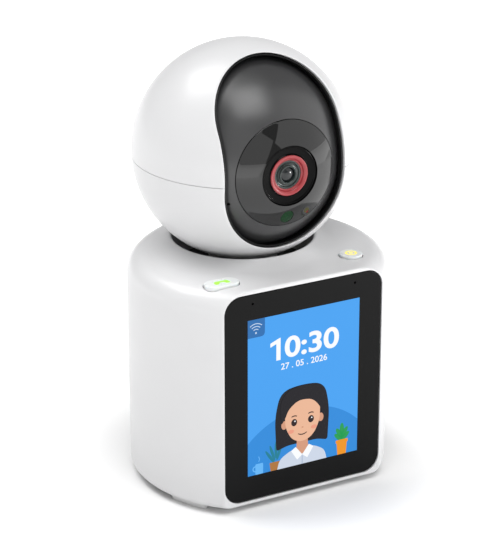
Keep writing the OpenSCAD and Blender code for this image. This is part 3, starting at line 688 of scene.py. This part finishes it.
def shell_cavity():
    """The hollow inside the walls, round the throat tube."""
    tube = THROAT_R + 1.8
    tube_foot = THROAT_FOOT_Z - WALL
    top = DECK_Z - WALL
    rings = [[Vector((0, HEAD.y, tube_foot))], ring(tube, tube_foot, HEAD.y), ring(tube, top, HEAD.y)]
    inner = BODY_R - WALL
    rings += deck_rings(tube, inner - TOP_ROUND + WALL, top, False, 4)
    rings += drum_rings(
        inner, top, SHELL_Z + BASE_WALL, TOP_ROUND - WALL, BOTTOM_ROUND - WALL, [0.0] * COLUMNS)
    return slice_off(loft("cavity", rings), (0, FRONT_IN, 0), (0, -1, 0))


def well(outline, gap=0.25, flare=0.3):
    """A cutter for a button's hole, flared where it meets the deck."""
    rows = [(0.0, DECK_Z - 5), (0.0, DECK_Z - flare)]
    for a in (math.radians(30), math.radians(60), math.radians(90)):
        rows.append((flare * (1 - math.cos(a)), DECK_Z - flare * (1 - math.sin(a))))
    rows.append((flare, DECK_Z + 3))
    return loft("well", [[as_is(x, y, z) for x, y in outline(-gap - grow)] for grow, z in rows])


def middle_z(node):
    low, high = box_mm(node)
    return (low.z + high.z) / 2


def rear_hole(width, height, corner, z, depth):
    """A cutter for a hole in the back of the drum."""
    outline = round_rect(width, height, corner, 0, z)
    return plate("rear_hole", outline, -BODY_R - 3, -BODY_R + depth, place=facing_front)


CALL_AT = (-26.5, -23.5)
FUNCTION_AT = (25.0, -21.0)
CALL = round_rect(12.4, 6.8, 3.39, *CALL_AT)
FUNCTION = disc(3.95, *FUNCTION_AT, 48)


def build_shell():
    rings, flare_start = neck_rings()
    core = BODY_R - TOP_ROUND
    rings += deck_rings(flare_start, core, DECK_Z, True)
    rise = [p.z - DECK_Z for p in rings[-1]]
    rings += drum_rings(BODY_R, DECK_Z, SHELL_Z, TOP_ROUND, BOTTOM_ROUND, rise)
    shell = loft("body_shell", rings)
    flatten_front(shell)

    pocket_outline = round_rect(GLASS_W + 2 * GLASS_SEAT, GLASS_H + 2 * GLASS_SEAT, GLASS_CORNER + GLASS_SEAT,
                                0, GLASS_Z)
    pocket = plate("pocket", pocket_outline, -GLASS_BACK, -FRONT_Y + 2, place=facing_front)
    lcd_outline = round_rect(LCD_POCKET_W, LCD_POCKET_H, 0.5, 0, middle_z("lcd_panel"))
    lcd = plate("lcd", lcd_outline, -FRONT_IN - 2, -FRONT_Y - 1, place=facing_front)
    opening_r = box_mm("base_plate")[1].x + BASE_GAP
    opening = plate("opening", disc(opening_r, steps=120), SHELL_Z - 2, SHELL_Z + 3)
    slice_off(opening, (0, FRONT_IN, 0), (0, -1, 0))
    ledge = plate("ledge", disc(21.0, 0, HEAD.y, 96), 64, 72)
    usb_z, speaker_z = middle_z("usb_port"), middle_z("speaker")
    usb = [rear_hole(12.14, 6.46, 3.2, usb_z, 1), rear_hole(9.54, 3.86, 1.92, usb_z, 8)]
    slots = [rear_hole(16, 1.4, 0.69, speaker_z + 3 * i, 10) for i in range(-2, 3)]
    carve(shell, [shell_cavity(), pocket, lcd, opening, ledge, well(CALL), well(FUNCTION)] + usb + slots)
    return piece(shell, "base", "white_shell", ["main_shell"], sharp=30)


# ---- Base pieces ------------------------------------------------------------

def build_glass():
    glass = plate("front_glass", round_rect(GLASS_W, GLASS_H, GLASS_CORNER, 0, GLASS_Z, 16),
                  -GLASS_BACK, -GLASS_Y, edge=0.35, under=0.1, place=facing_front)
    mic_x, mic_z = 19.7, GLASS_Z + GLASS_H / 2 - 3.4
    carve(glass, [
        plate("mic_hole", disc(0.45, x, mic_z, 24), -GLASS_BACK - 1, -GLASS_Y + 1, place=facing_front)
        for x in (-mic_x, mic_x)
    ])
    return piece(glass, "base", "front_glass", ["display_glass"])


def foot_outline(angle, span=20.0, inner=31.0, outer=BODY_R - BOTTOM_ROUND - BASE_GAP, corner=0.5):
    """A curved pad with rounded corners."""
    def cornered(points):
        return [points[0] + (corner,)] + [p + (0,) for p in points[1:-1]] + [points[-1] + (corner,)]

    def outline(inset=0.0):
        pull = math.degrees(inset / outer)
        start, end = angle - span / 2 + pull, angle + span / 2 - pull
        far = arc(0, 0, outer - inset, start, end, 16)
        near = arc(0, 0, inner + inset, end, start, 16)
        return smooth_corners(cornered(far) + cornered(near), 0, 1)
    return outline


def build_feet():
    """Four curved pads round the edge and a round one in the middle."""
    outlines = [foot_outline(a) for a in (207, 333, 153, 27)] + [disc(9.0)]
    pads = [plate("foot", outline, 0, SHELL_Z, under=0.35) for outline in outlines]
    return piece(join("rubber_feet", pads), "base", "foot_rubber", ["feet"])


def build_button(name, outline, icon, body, node):
    """A cap with a rounded top edge, over its collar and stem, with a sunk icon."""
    top = DECK_Z + BUTTON_PROUD
    low = box_mm(node)[0].z
    cap = plate(name, outline, low + 1.5, top, edge=0.45, steps=6)
    collar = plate(name + "_collar", lambda inset=0.0: outline(inset - 0.6), low + 0.4, low + 1.2, under=0.1)
    points = outline(0.0)
    cx = sum(p[0] for p in points) / len(points)
    cy = sum(p[1] for p in points) / len(points)
    stem = plate(name + "_stem", disc(1.8, cx, cy, 32), low, low + 2, under=0.2)
    carve(cap, [collar, stem], "UNION")
    carve(cap, icon(0.03, 2.0))
    return piece(cap, body, "button_cap", [node])


ICON_LOW = DECK_Z + BUTTON_PROUD - 0.6
ICON_HIGH = DECK_Z + BUTTON_PROUD - 0.02


def handset(grow, lift):
    """Telephone handset: an arched bar with two round ends, and its place on the button."""
    cx, cy = CALL_AT
    corners = [(-2.8, -1.35), (-1.15, -1.35), (-1.0, -0.1, 0.6), (1.0, -0.1, 0.6), (1.15, -1.35),
               (2.8, -1.35), (2.7, 1.1, 1.3), (-2.7, 1.1, 1.3)]
    middle = Vector((0, -0.1))
    grown = []
    for corner in corners:
        away = (Vector(corner[:2]) - middle).normalized() * grow
        grown.append((cx + corner[0] + away.x, cy + corner[1] + away.y) + corner[2:])
    return [plate("icon", fixed(smooth_corners(grown, 0.55)), ICON_LOW - grow, ICON_HIGH + lift)]


def ring_and_dot(grow, lift):
    """A plain ring with a dot in it, and its place on the button."""
    cx, cy = FUNCTION_AT
    low, high = ICON_LOW - grow, ICON_HIGH + lift
    outer, inner = 2.1 + grow, 1.4 - grow
    hoop = lathe("icon", [(inner, low), (outer, low), (outer, high), (inner, high)],
                 lambda x, y, z: Vector((cx + x, cy + y, z)), 48)
    return [hoop, plate("icon", disc(0.7 + grow, cx, cy, 24), low, high)]


def build_buttons():
    build_button("call_cap", CALL, handset, "call_button", "call_button")
    build_button("function_cap", FUNCTION, ring_and_dot, "function_button", "function_button")
    piece(join("call_mark", handset(0.0, 0.0)), "call_button", "icon_green", ["call_icon"])
    piece(join("function_mark", ring_and_dot(0.0, 0.0)), "function_button", "icon_yellow",
          ["function_icon"])


# ---- Head shells ------------------------------------------------------------

def opening_outline(grow, steps_side=14, steps_end=52):
    """The opening's stadium outline, from the +X side round."""
    r = OPENING_W / 2
    half = OPENING_H / 2 - r
    climb = [-half + 2 * half * i / steps_side for i in range(steps_side)]
    points = [(r + grow, y) for y in climb]
    points += arc(0, half, r + grow, 0, 180, steps_end)[:-1]
    points += [(-r - grow, -y) for y in climb]
    points += arc(0, -half, r + grow, 180, 360, steps_end)[:-1]
    return points


def on_sphere(points, radius, drop=0.0):
    return [on_opening(x, y, sphere_height(math.hypot(x, y), radius) - drop) for x, y in points]


def sphere_rings(points, radius, rows):
    """Rings on a sphere from an outline round to the far pole, evenly in angle."""
    rings = []
    for k in range(1, rows):
        ring_points = []
        for x, y in points:
            r = math.hypot(x, y)
            start = math.asin(min(r / radius, 1.0))
            theta = start + (math.pi - start) * (k / rows)
            out = radius / r * math.sin(theta)
            ring_points.append(on_opening(x * out, y * out, radius * math.cos(theta)))
        rings.append(ring_points)
    rings.append([on_opening(0, 0, -radius)])
    return rings


def head_skin(name, edge=1.0, steps=8):
    """Hollow sphere with its opening's edge rounded over."""
    outline, wide = opening_outline(0.0), opening_outline(edge)
    outer, corner = on_sphere(wide, HEAD_R), on_sphere(outline, HEAD_R)
    inner = on_sphere(outline, HEAD_R, edge)
    rows = [outer]
    for k in range(1, steps + 1):
        rows.append([bend(*curve, k / steps) for curve in zip(outer, corner, inner)])
    rows.append(on_sphere(outline, HEAD_IN))
    outside = sphere_rings(wide, HEAD_R, 60)
    return loft(name, outside[::-1] + rows + sphere_rings(outline, HEAD_IN, 40))


def split_edge(obj, upper):
    """Cuts the head at its parting plane and rounds the outer edge of the cut."""
    sign = 1 if upper else -1
    chamfer, half_gap, steps = 0.16, 0.05, 3
    cut_z = SPLIT_Z + sign * (half_gap + chamfer)
    centre = Vector((HEAD.x, HEAD.y))

    def quarter_turn(point):
        flat = Vector((point.x, point.y)) - centre
        share = min(max((flat.length - HEAD_IN) / (HEAD_R - HEAD_IN), 0.0), 1.0)
        points = []
        for k in range(1, steps + 1):
            a = math.pi / 2 * k / steps
            pull = chamfer * (1 - math.cos(a)) * share
            p = centre + flat * (1 - pull / flat.length)
            points.append(Vector((p.x, p.y, cut_z - sign * chamfer * math.sin(a))))
        return points

    with edited(obj.data) as bm:
        edges = cut_plane(bm, (0, 0, cut_z), (0, 0, -sign))
        rim = grow_strip(bm, edges, quarter_turn)
        bmesh.ops.triangle_fill(bm, edges=rim, use_beauty=True)
        bmesh.ops.recalc_face_normals(bm, faces=bm.faces)
    return obj


def build_head():
    upper = split_edge(head_skin("head_dome"), True)
    piece(upper, "head", "white_shell", ["head_upper_shell"], sharp=35)

    lower = split_edge(head_skin("head_bowl"), False)
    foot = box_mm("head_lower_shell")[0].z
    boss_r = 12.0
    boss = lathe("boss", [
        (0, foot), (boss_r - 0.4, foot), (boss_r - 0.12, foot + 0.12), (boss_r, foot + 0.4),
        (boss_r, foot + 5), (0, foot + 5),
    ], about_head, closed=False)
    mid = (HEAD_IN + HEAD_R) / 2
    turns = [math.radians(a) for a in range(0, 42, 2)]
    dish = [(mid * math.sin(a), HEAD.z - mid * math.cos(a)) for a in turns]
    hollow = lathe("hollow", dish + [(0, HEAD.z - 20)], about_head, closed=False)
    bore = plate("bore", disc(5.0, 0, HEAD.y, 48), foot - 5, foot + 20)
    carve(boss, [hollow])
    carve(lower, [boss], "UNION")
    carve(lower, [bore])
    piece(lower, "head", "white_shell", ["head_lower_shell"], sharp=35)


def build_liner():
    """Black sleeve inside the opening, with a rounded lip and a flange behind the shell."""
    wall, lip, gap = 0.8, 0.25, 0.05
    front_r, back_r, flange_r = HEAD_R - 1.2, BALL_R + 0.4, HEAD_IN - 0.1
    rows = [
        (2.0, back_r, 0), (2.0, flange_r, 0), (-gap, flange_r, 0), (-gap, front_r, lip),
        (-gap - lip * 0.3, front_r, lip * 0.3), (-gap - lip, front_r, 0), (-gap - wall + lip, front_r, 0),
        (-gap - wall + lip * 0.3, front_r, lip * 0.3), (-gap - wall, front_r, lip), (-gap - wall, back_r, 0),
    ]
    rings = [on_sphere(opening_outline(grow), radius, drop) for grow, radius, drop in rows]
    return piece(loft("opening_sleeve", rings, closed=True), "head", "liner_black", ["opening_liner"])


# ---- Ball and lens ----------------------------------------------------------

def ball_arc(r_start, end_angle, radius, step=1.5):
    """Profile points on a sphere from a radius out to an angle from the lens axis."""
    start = math.degrees(math.asin(r_start / radius))
    count = max(int(abs(end_angle - start) / step), 2)
    angles = [math.radians(start + (end_angle - start) * i / count) for i in range(count + 1)]
    return [(radius * math.sin(a), radius * math.cos(a)) for a in angles]


SENSOR_AT = (0, -15.0)
LED_AT = (8.4, -15.0)
MIC_AT = (-20.0, -8.4)


def lens_hole(r, at, steps):
    """A cutter along the lens axis."""
    return plate("lens_hole", disc(r, *at, steps), 20, 40, place=on_lens)


def build_ball_cover(edge):
    hole = WINDOW_R + 0.1
    behind_axis = 6.0
    top = sphere_height(hole, BALL_R)
    lip = [(hole, top - edge), (hole + edge * 0.13, top - edge * 0.5), (hole + edge * 0.5, top - edge * 0.2)]
    outer = ball_arc(hole + edge, 90 + math.degrees(math.asin(behind_axis / BALL_R)), BALL_R)
    inner = ball_arc(hole, 90 + math.degrees(math.asin(behind_axis / BALL_IN)), BALL_IN)
    cover = lathe("ball_front", lip + outer + inner[::-1], on_lens, 192)
    for side in (-1, 1):
        slice_off(cover, HEAD + Vector((side * BALL_HALF, 0, 0)), (side, 0, 0))
    carve(cover, [lens_hole(0.5, MIC_AT, 24)])
    piece(cover, "ball", "ball_black", ["ball_cover"], sharp=35)


def build_window(edge):
    """The round dark cover about the lens, flush with the ball."""
    flat_r = WINDOW_R - edge
    rim = []
    for r, drop in ((flat_r, 0.0), (WINDOW_R - edge * 0.5, edge * 0.2), (WINDOW_R - edge * 0.13, edge * 0.5),
                    (WINDOW_R, edge)):
        rim.append((r, sphere_height(flat_r, BALL_R) - drop - 0.05 * (r - flat_r)))
    hole = BEZEL_R + 0.1
    back = BALL_IN + 0.2
    face = ball_arc(hole, math.degrees(math.asin(flat_r / BALL_R)), BALL_R, 1.0)[:-1]
    behind = ball_arc(hole, math.degrees(math.asin(WINDOW_R / back)), back, 2.0)
    window = lathe("lens_cover", face + rim + behind[::-1], on_lens, 192)
    carve(window, [lens_hole(2.42, SENSOR_AT, 48), lens_hole(0.56, LED_AT, 24)])
    piece(window, "ball", "window_black", ["lens_window"], sharp=35)


def build_ball(edge=0.22):
    build_ball_cover(edge)
    build_window(edge)


def cap_on_ball(name, at, r, sink, steps):
    """A small round window that follows the ball's surface, with a soft edge."""
    cx, cy = at

    def on_surface(x, y, drop):
        return on_lens(x, y, sphere_height(math.hypot(x, y), BALL_R) - drop)

    rings = [[on_surface(cx, cy, sink)]]
    for share, extra in ((0.3, 0), (0.6, 0), (0.85, 0), (0.96, 0.03), (1.0, 0.12), (1.0, 1.6)):
        outline = disc(r * share, cx, cy, steps)()
        rings.append([on_surface(x, y, sink + extra) for x, y in outline])
    rings.append([on_surface(cx, cy, 1.7)])
    return loft(name, rings)


def turned(name, profile, rounding, steps, slot, node, **look):
    """A ring about the lens axis; its profile is (radius, distance from the ball's centre)."""
    outline = smooth_corners(profile, rounding)
    piece(lathe(name, outline, on_lens, steps), "ball", slot, [node], **look)


def build_lens():
    front = HEAD.y - bezel_low.y
    bezel_back, red_back, barrel_step = 30.6, 31.4, 30.8
    barrel_back = HEAD.y - box_mm("lens_barrel")[1].y
    turned("lens_ring_black", [
        (BEZEL_R, bezel_back), (BEZEL_R, front - 1.2), (BEZEL_R - 0.5, front - 1.0, 0.3),
        (BEZEL_R - 0.9, front - 1.35), (RED_R + 0.5, front - 1.55), (RED_R + 0.1, front - 1.0, 0.3),
        (RED_R + 0.02, front - 1.5), (RED_R + 0.02, bezel_back),
    ], 0.15, 128, "liner_black", "lens_bezel", sharp=28, finish="bezel_black")

    turned("lens_ring_red", [
        (RED_R, red_back), (RED_R, 32.95, 0.3), (RED_R - 0.5, 33.0, 0.3), (RED_R - 1.25, 32.7, 0.3),
        (5.45, 31.95, 0.3), (5.0, 31.85, 0.1), (5.0, red_back),
    ], 0.1, 128, "red_trim", "red_ring", sharp=40)

    turned("barrel", [
        (1.5, barrel_back), (BARREL_R, barrel_back), (BARREL_R, barrel_step), (4.98, barrel_step),
        (4.98, 31.75, 0.2), (4.4, 31.7, 0.2), (4.2, 31.3), (3.75, 31.2), (3.6, 31.55), (BARREL_R, 31.6),
        (BARREL_R, 32.35, 0.25), (2.95, 32.4, 0.2), (2.62, 32.05, 0.2), (2.62, 28.0), (1.5, 28.0),
    ], 0.08, 96, "dark_plastic", "lens_barrel", sharp=28, finish="barrel_painted_reflection")

    curve_r, dome_z = 5.0, 32.05
    dome = [(r, dome_z - curve_r + sphere_height(r, curve_r)) for r in (0, 0.4, 0.8, 1.2, 1.6, 2.0, 2.3, 2.5)]
    glass = lathe("front_lens", dome + [(2.58, 31.2), (2.58, 28.2), (0, 28.2)], on_lens, 64, closed=False)
    piece(glass, "ball", "lens_clear", ["lens_glass"], sharp=28)

    sensor = cap_on_ball("light_sensor_cover", SENSOR_AT, 2.38, 0.04, 48)
    piece(sensor, "ball", "sensor_green", ["sensor_window"])
    piece(cap_on_ball("indicator", LED_AT, 0.54, 0.05, 24), "ball", "led_red", ["status_led"])


# ---- Screen picture ---------------------------------------------------------

PICTURE_TOP = GLASS_Z + SCREEN_H / 2
LAYER = 0.02


def at_screen(x, down):
    """A place on the screen, from its upper left corner, in the frame's X and Z."""
    return x - SCREEN_W / 2, PICTURE_TOP - down


def show(obj, material):
    """Makes a finished shape part of the screen's picture."""
    obj.data.materials.clear()
    obj.data.materials.append(material)
    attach(obj, "base")
    return obj


def inked(name, points, layer, material):
    """One flat shape of the picture; points are across and down from the upper left corner."""
    placed = [at_screen(x, down) for x, down in points]
    low = -GLASS_Y + LAYER * (layer - 1) if layer else -GLASS_Y - 0.05
    shape = plate(name, fixed(placed), low, -GLASS_Y + LAYER * layer + 0.01, place=facing_front)
    shade(shape, 30, False)
    return show(shape, material)


def blob(cx, cy, rx, ry, steps=40, turn=0.0):
    """An ellipse in screen coordinates."""
    points = []
    c, s = math.cos(math.radians(turn)), math.sin(math.radians(turn))
    for i in range(steps):
        a = 2 * math.pi * i / steps
        x, y = rx * math.cos(a), ry * math.sin(a)
        points.append((cx + x * c - y * s, cy + x * s + y * c))
    return points


def clip(points):
    """Cuts an outline to the screen, one side at a time (Sutherland and Hodgman's way)."""
    for axis, limit, side in ((0, 0.0, 1), (0, SCREEN_W, -1), (1, 0.0, 1), (1, SCREEN_H, -1)):
        kept = []
        for p, q in zip(points, points[1:] + points[:1]):
            p_in, q_in = (side * (end[axis] - limit) >= 0 for end in (p, q))
            if p_in:
                kept.append(p)
            if p_in != q_in:
                t = (limit - p[axis]) / (q[axis] - p[axis])
                kept.append(tuple(p[k] + (q[k] - p[k]) * t for k in (0, 1)))
        points = kept
    return points


def digits(name, text, size, cx, cy, layer, material, weight, stretch=1.0):
    """Numerals as flat shapes, centred on a place of the screen."""
    curve = bpy.data.curves.new(name, "FONT")
    curve.body = text
    curve.size = size * MM
    curve.offset = weight * MM
    curve.align_x = "CENTER"
    curve.align_y = "CENTER"
    curve.resolution_u = 6
    curve.extrude = LAYER * MM / 2
    maker = bpy.data.objects.new(name, curve)
    scene.collection.objects.link(maker)
    bpy.context.view_layer.update()
    mesh = bpy.data.meshes.new_from_object(maker.evaluated_get(bpy.context.evaluated_depsgraph_get()))
    bpy.data.objects.remove(maker)
    xs = [v.co.x for v in mesh.vertices]
    ys = [v.co.y for v in mesh.vertices]
    mid_x, mid_y = (min(xs) + max(xs)) / 2, (min(ys) + max(ys)) / 2
    px, pz = at_screen(cx, cy)
    for v in mesh.vertices:
        x, y, out = (v.co.x - mid_x) * stretch, v.co.y - mid_y, v.co.z
        v.co = Vector((px * MM + x, (GLASS_Y - LAYER * layer) * MM - out, pz * MM + y))
    obj = bpy.data.objects.new(name, mesh)
    scene.collection.objects.link(obj)
    heal(mesh)
    face_outwards(obj)
    return show(obj, material)


def rounded(name, corners, radius, layer, material, steps=5):
    """A flat shape with its corners rounded."""
    return inked(name, smooth_corners(corners, radius, steps), layer, material)


def build_clock(white):
    one = [(12.5, 8.55), (12.5, 16.65), (10.9, 16.65), (10.9, 10.5), (8.6, 11.4), (8.6, 9.95), (12.2, 8.55)]
    inked("clock_one", smooth_corners(one, 0.08, 2), 2, white)
    digits("clock_digits", "0:30", 10.4, 24.7, 12.6, 2, white, 0.26, 1.19)
    digits("date_digits", "27 . 05 . 2026", 3.2, 21.7, 19.3, 2, white, 0.03, 1.02)


def build_status_tab(tab_blue, white):
    corner = [(0, 0), (6.5, 0), (6.5, 6.5, 1.6), (0, 6.5)]
    inked("status_tab", smooth_corners(corner, 0.0), 1, tab_blue)
    cx, cy = 3.1, 4.9
    inked("signal_dot", blob(cx, cy, 0.36, 0.36, 20), 2, white)
    for k, r in enumerate((1.35, 2.35, 3.35)):
        outer = arc(cx, cy, r + 0.15, 228, 312, 14)
        inner = arc(cx, cy, r - 0.15, 312, 228, 14)
        inked(f"signal_arc_{k + 1}", outer + inner, 2, white)


def build_plants(ink):
    leaves = ((37.0, 48.0, 0), (36.0, 49.4, -32), (38.0, 49.4, 32), (35.8, 51.0, -48), (38.2, 51.0, 48))
    for k, (x, y, turn) in enumerate(leaves):
        inked(f"plant_leaf_{k + 1}", blob(x, y, 0.85, 2.3, 24, turn), 2, ink["leaf"])
    rounded("plant_pot", [(34.9, 52.6), (39.1, 52.6), (38.7, 57.6), (35.3, 57.6)], 0.15, 3, ink["pot"])
    rounded("plant_pot_rim", [(34.6, 52.0), (39.4, 52.0), (39.4, 53.2), (34.6, 53.2)], 0.2, 4, ink["pot"])
    reeds = ((10.9, 50.0, 0), (9.5, 50.9, -18), (12.2, 50.9, 18), (8.6, 52.2, -34))
    for k, (x, y, turn) in enumerate(reeds):
        inked(f"reed_leaf_{k + 1}", blob(x, y, 0.55, 3.2, 24, turn), 2, ink["teal"])
    rounded("reed_pot", [(8.4, 54.4), (13.6, 54.4), (13.2, 57.6), (8.8, 57.6)], 0.2, 3, ink["clay"])
    rounded("mug_body", [(2.9, 53.6), (5.9, 53.6), (5.9, 57.6), (2.9, 57.6)], 0.4, 2, ink["mug"])
    handle = arc(2.9, 55.4, 1.15, 90, 270, 12) + arc(2.9, 55.4, 0.7, 270, 90, 12)
    inked("mug_handle", handle, 2, ink["mug"])
    steam = [(4.0, 50.9), (4.3, 50.9), (4.7, 52.0), (4.3, 52.9), (4.05, 52.9), (4.4, 52.0)]
    rounded("mug_steam", steam, 0.3, 2, ink["mug"])


def build_avatar(ink):
    """A plain greeting figure of generic design, in flat shapes."""
    middle = 21.2
    back = [(11.0, 50.6, 1.2), (10.4, 38.0, 4.0), (12.6, 28.6, 8.0), (21.2, 27.4, 9.0), (29.8, 28.6, 8.0),
            (31.8, 38.0, 4.0), (31.2, 50.6, 1.2), (27.0, 49.4, 1.5), (15.4, 49.4, 1.5)]
    rounded("avatar_hair_back", back, 1.0, 3, ink["hair"], 10)
    body = [(11.4, 57.6), (12.3, 54.0, 2.2), (17.0, 51.4, 2.0), (25.6, 51.4, 2.0), (30.0, 54.0, 2.2),
            (30.9, 57.6)]
    inked("avatar_shirt", clip(smooth_corners(body, 0.0, 8)), 5, ink["shirt"])
    neck = [(19.2, 46.0), (23.2, 46.0), (23.6, 52.4, 1.6), (middle, 54.0, 1.2), (18.8, 52.4, 1.6)]
    rounded("avatar_neck", neck, 0.4, 6, ink["shade"])
    for side, sign in (("left", -1), ("right", 1)):
        collar = [(2.6, 50.6), (0, 54.0), (2.0, 55.6), (4.4, 51.8)]
        rounded(f"avatar_collar_{side}", [(middle + sign * x, y) for x, y in collar], 0.3, 7, ink["white"])
    seam = [(21.05, 54.4), (21.35, 54.4), (21.35, 57.6), (21.05, 57.6)]
    inked("avatar_shirt_seam", seam, 6, ink["seam"])
    for k, x in enumerate((14.0, 28.4)):
        inked(f"avatar_ear_{k + 1}", blob(x, 41.4, 1.1, 1.6, 24), 7, ink["shade"])
    face = [(14.3, 34.0, 6.0), (middle, 31.5, 6.0), (28.1, 34.0, 6.0), (28.0, 42.6, 5.0), (25.2, 47.6, 4.0),
            (middle, 49.2, 3.0), (17.2, 47.6, 4.0), (14.4, 42.6, 5.0)]
    rounded("avatar_face", face, 3.0, 8, ink["skin"], 8)
    fringe = [(13.0, 41.0, 0.8), (12.2, 33.0, 5.0), (15.4, 28.6, 5.0), (21.2, 27.6, 6.0), (27.0, 28.6, 5.0),
              (30.2, 33.0, 5.0), (29.4, 41.0, 0.8), (28.0, 37.0, 2.0), (25.0, 33.6, 3.0), (19.4, 33.0, 3.0),
              (15.6, 36.0, 2.5), (14.4, 39.0, 1.5)]
    rounded("avatar_fringe", fringe, 1.0, 9, ink["hair"], 8)
    for k, x in enumerate((17.9, 24.5)):
        inked(f"avatar_eye_{k + 1}", blob(x, 41.2, 1.15, 1.35, 28), 9, ink["dark"])
        inked(f"avatar_glint_{k + 1}", blob(x + 0.3, 40.75, 0.28, 0.28, 16), 10, ink["white"])
        brow = arc(x, 40.6, 2.1, 238, 302, 10) + arc(x, 40.75, 1.85, 302, 238, 10)
        inked(f"avatar_brow_{k + 1}", brow, 9, ink["dark"])
        inked(f"avatar_cheek_{k + 1}", blob(x + (-1.2, 1.2)[k], 44.4, 1.2, 0.75, 24), 9, ink["blush"])
    inked("avatar_nose", blob(middle, 43.6, 0.42, 0.3, 20), 9, ink["shade"])
    mouth = arc(middle, 43.6, 2.9, 52, 128, 16) + arc(middle, 43.0, 3.1, 122, 58, 16)
    inked("avatar_mouth", mouth, 9, ink["dark"])


SCREEN_COLOURS = {
    "sky": (72, 163, 243), "hill": (48, 140, 220), "tab": (46, 112, 178), "white": (250, 252, 255),
    "hair": (30, 28, 34), "skin": (236, 184, 152), "shade": (214, 156, 126), "shirt": (206, 216, 232),
    "seam": (168, 184, 208), "dark": (44, 30, 32), "blush": (236, 158, 132), "leaf": (40, 158, 84),
    "pot": (240, 150, 32), "teal": (34, 128, 150), "clay": (176, 118, 62), "mug": (104, 184, 248),
    "signal": (196, 216, 240),
}


def build_screen():
    ink = {name: lit("screen_" + name, srgb(*colour)) for name, colour in SCREEN_COLOURS.items()}
    corners = [(0, 0), (SCREEN_W, 0), (SCREEN_W, SCREEN_H), (0, SCREEN_H)]
    inked("screen_picture", corners, 0, ink["sky"])
    inked("picture_hill", clip(blob(21.6, 66.9, 30.4, 30.4, 160)), 1, ink["hill"])
    build_status_tab(ink["tab"], ink["signal"])
    build_clock(ink["white"])
    build_plants(ink)
    build_avatar(ink)


# ---- Stage ------------------------------------------------------------------

CAMERA_TARGET = (2.89, 9.28, 66.87)
CAMERA_AZIMUTH = -28.54
CAMERA_ELEVATION = 21.90
CAMERA_DISTANCE = 801.85
CAMERA_LENS = 148.73
ON_BODY = (0, 0, 80)
ON_HEAD = (0, 10, 114)
FLOOR_Z = -0.02
FLOOR_RINGS = (200, 1000, 4000, 12000)


def direction(azimuth, elevation):
    """Towards a place round the object; azimuth is in degrees from -Y, elevation from level."""
    a, e = math.radians(azimuth), math.radians(elevation)
    return Vector((math.sin(a) * math.cos(e), -math.cos(a) * math.cos(e), math.sin(e)))


def aim(obj, target, away, distance, roll=0.0):
    """Stands an object off from its target and turns it back to it."""
    obj.location = (Vector(target) + away * distance) * MM
    obj.rotation_mode = "QUATERNION"
    obj.rotation_quaternion = (-away).to_track_quat("-Z", "Y") @ Quaternion((0, 0, 1), math.radians(roll))
    scene.collection.objects.link(obj)


def build_camera():
    data = bpy.data.cameras.new("camera")
    data.lens = CAMERA_LENS
    data.sensor_width = 36.0
    data.clip_start, data.clip_end = 0.01, 20.0
    camera = bpy.data.objects.new("camera", data)
    aim(camera, CAMERA_TARGET, direction(CAMERA_AZIMUTH, CAMERA_ELEVATION), CAMERA_DISTANCE)
    scene.camera = camera


def area_light(name, azimuth, elevation, distance, width, height, watts, target=ON_BODY, roll=0.0):
    data = bpy.data.lights.new(name, "AREA")
    data.shape = "RECTANGLE"
    data.size, data.size_y = width * MM, height * MM
    data.energy = watts
    aim(bpy.data.objects.new(name, data), target, direction(azimuth, elevation), distance, roll)


def build_floor():
    """A pale sheet that glows a little away from the object and hardly at all next to it: the weak glow round
    its foot is a painted soft shadow.
    """
    middle = [Vector((0, 0, FLOOR_Z))]
    rings = [[Vector((x, y, FLOOR_Z)) for x, y in disc(r)()] for r in FLOOR_RINGS]
    floor = loft("floor", [middle] + rings, caps=False)
    s = Shader("pale_floor_painted_shadow", srgb(232, 232, 232), 0.6).mottle(300, 0.01).uneven(90, 0.03)
    s.glow((1, 1, 1, 1), 0.0)
    reach = s.node("VectorMath", operation="LENGTH")
    s.link(s.coords, reach.inputs[0])
    glow_with_painted_shadow = s.node("Math", operation="ADD")
    # No glow next to the object, rising outwards: this paints the soft shadow and grey halo round its foot on
    # the floor.
    for k, (start, end, level) in enumerate(((42, 85, 0.28), (100, 480, 0.44))):
        ramp = s.node("MapRange", interpolation_type="SMOOTHSTEP", From_Min=start * MM, From_Max=end * MM,
                      To_Max=level)
        s.link(reach.outputs["Value"], ramp.inputs["Value"])
        s.link(ramp.outputs["Result"], glow_with_painted_shadow.inputs[k])
    s.link(glow_with_painted_shadow.outputs["Value"], s.bsdf.inputs["Emission Strength"])
    floor.data.materials.append(s.material)


def build_lights():
    world = bpy.data.worlds.new("studio")
    world.use_nodes = True
    background = world.node_tree.nodes["Background"]
    background.inputs["Color"].default_value = (1, 1, 1, 1)
    background.inputs["Strength"].default_value = 0.3
    scene.world = world

    area_light("rear_softbox", -140, 60, 3000, 1600, 1600, 52)
    area_light("left_card", -32, 12, 420, 485, 505, 0.54, target=ON_HEAD, roll=-25)
    area_light("right_card", 57, 18, 420, 588, 588, 0.98, target=ON_HEAD, roll=35)
    area_light("top_softbox", -10, 72, 2000, 1200, 1200, 20)
    area_light("lens_spark", 44, -5, 380, 26, 34, 0.3, target=ON_HEAD)
    scene.view_settings.view_transform = "Standard"
    scene.view_settings.look = "None"


# ---- Assembly ---------------------------------------------------------------

build_camera()
build_floor()
build_lights()
dress_cad_nodes()
build_shell()
build_glass()
build_feet()
build_buttons()
build_head()
build_liner()
build_ball()
build_lens()
build_screen()
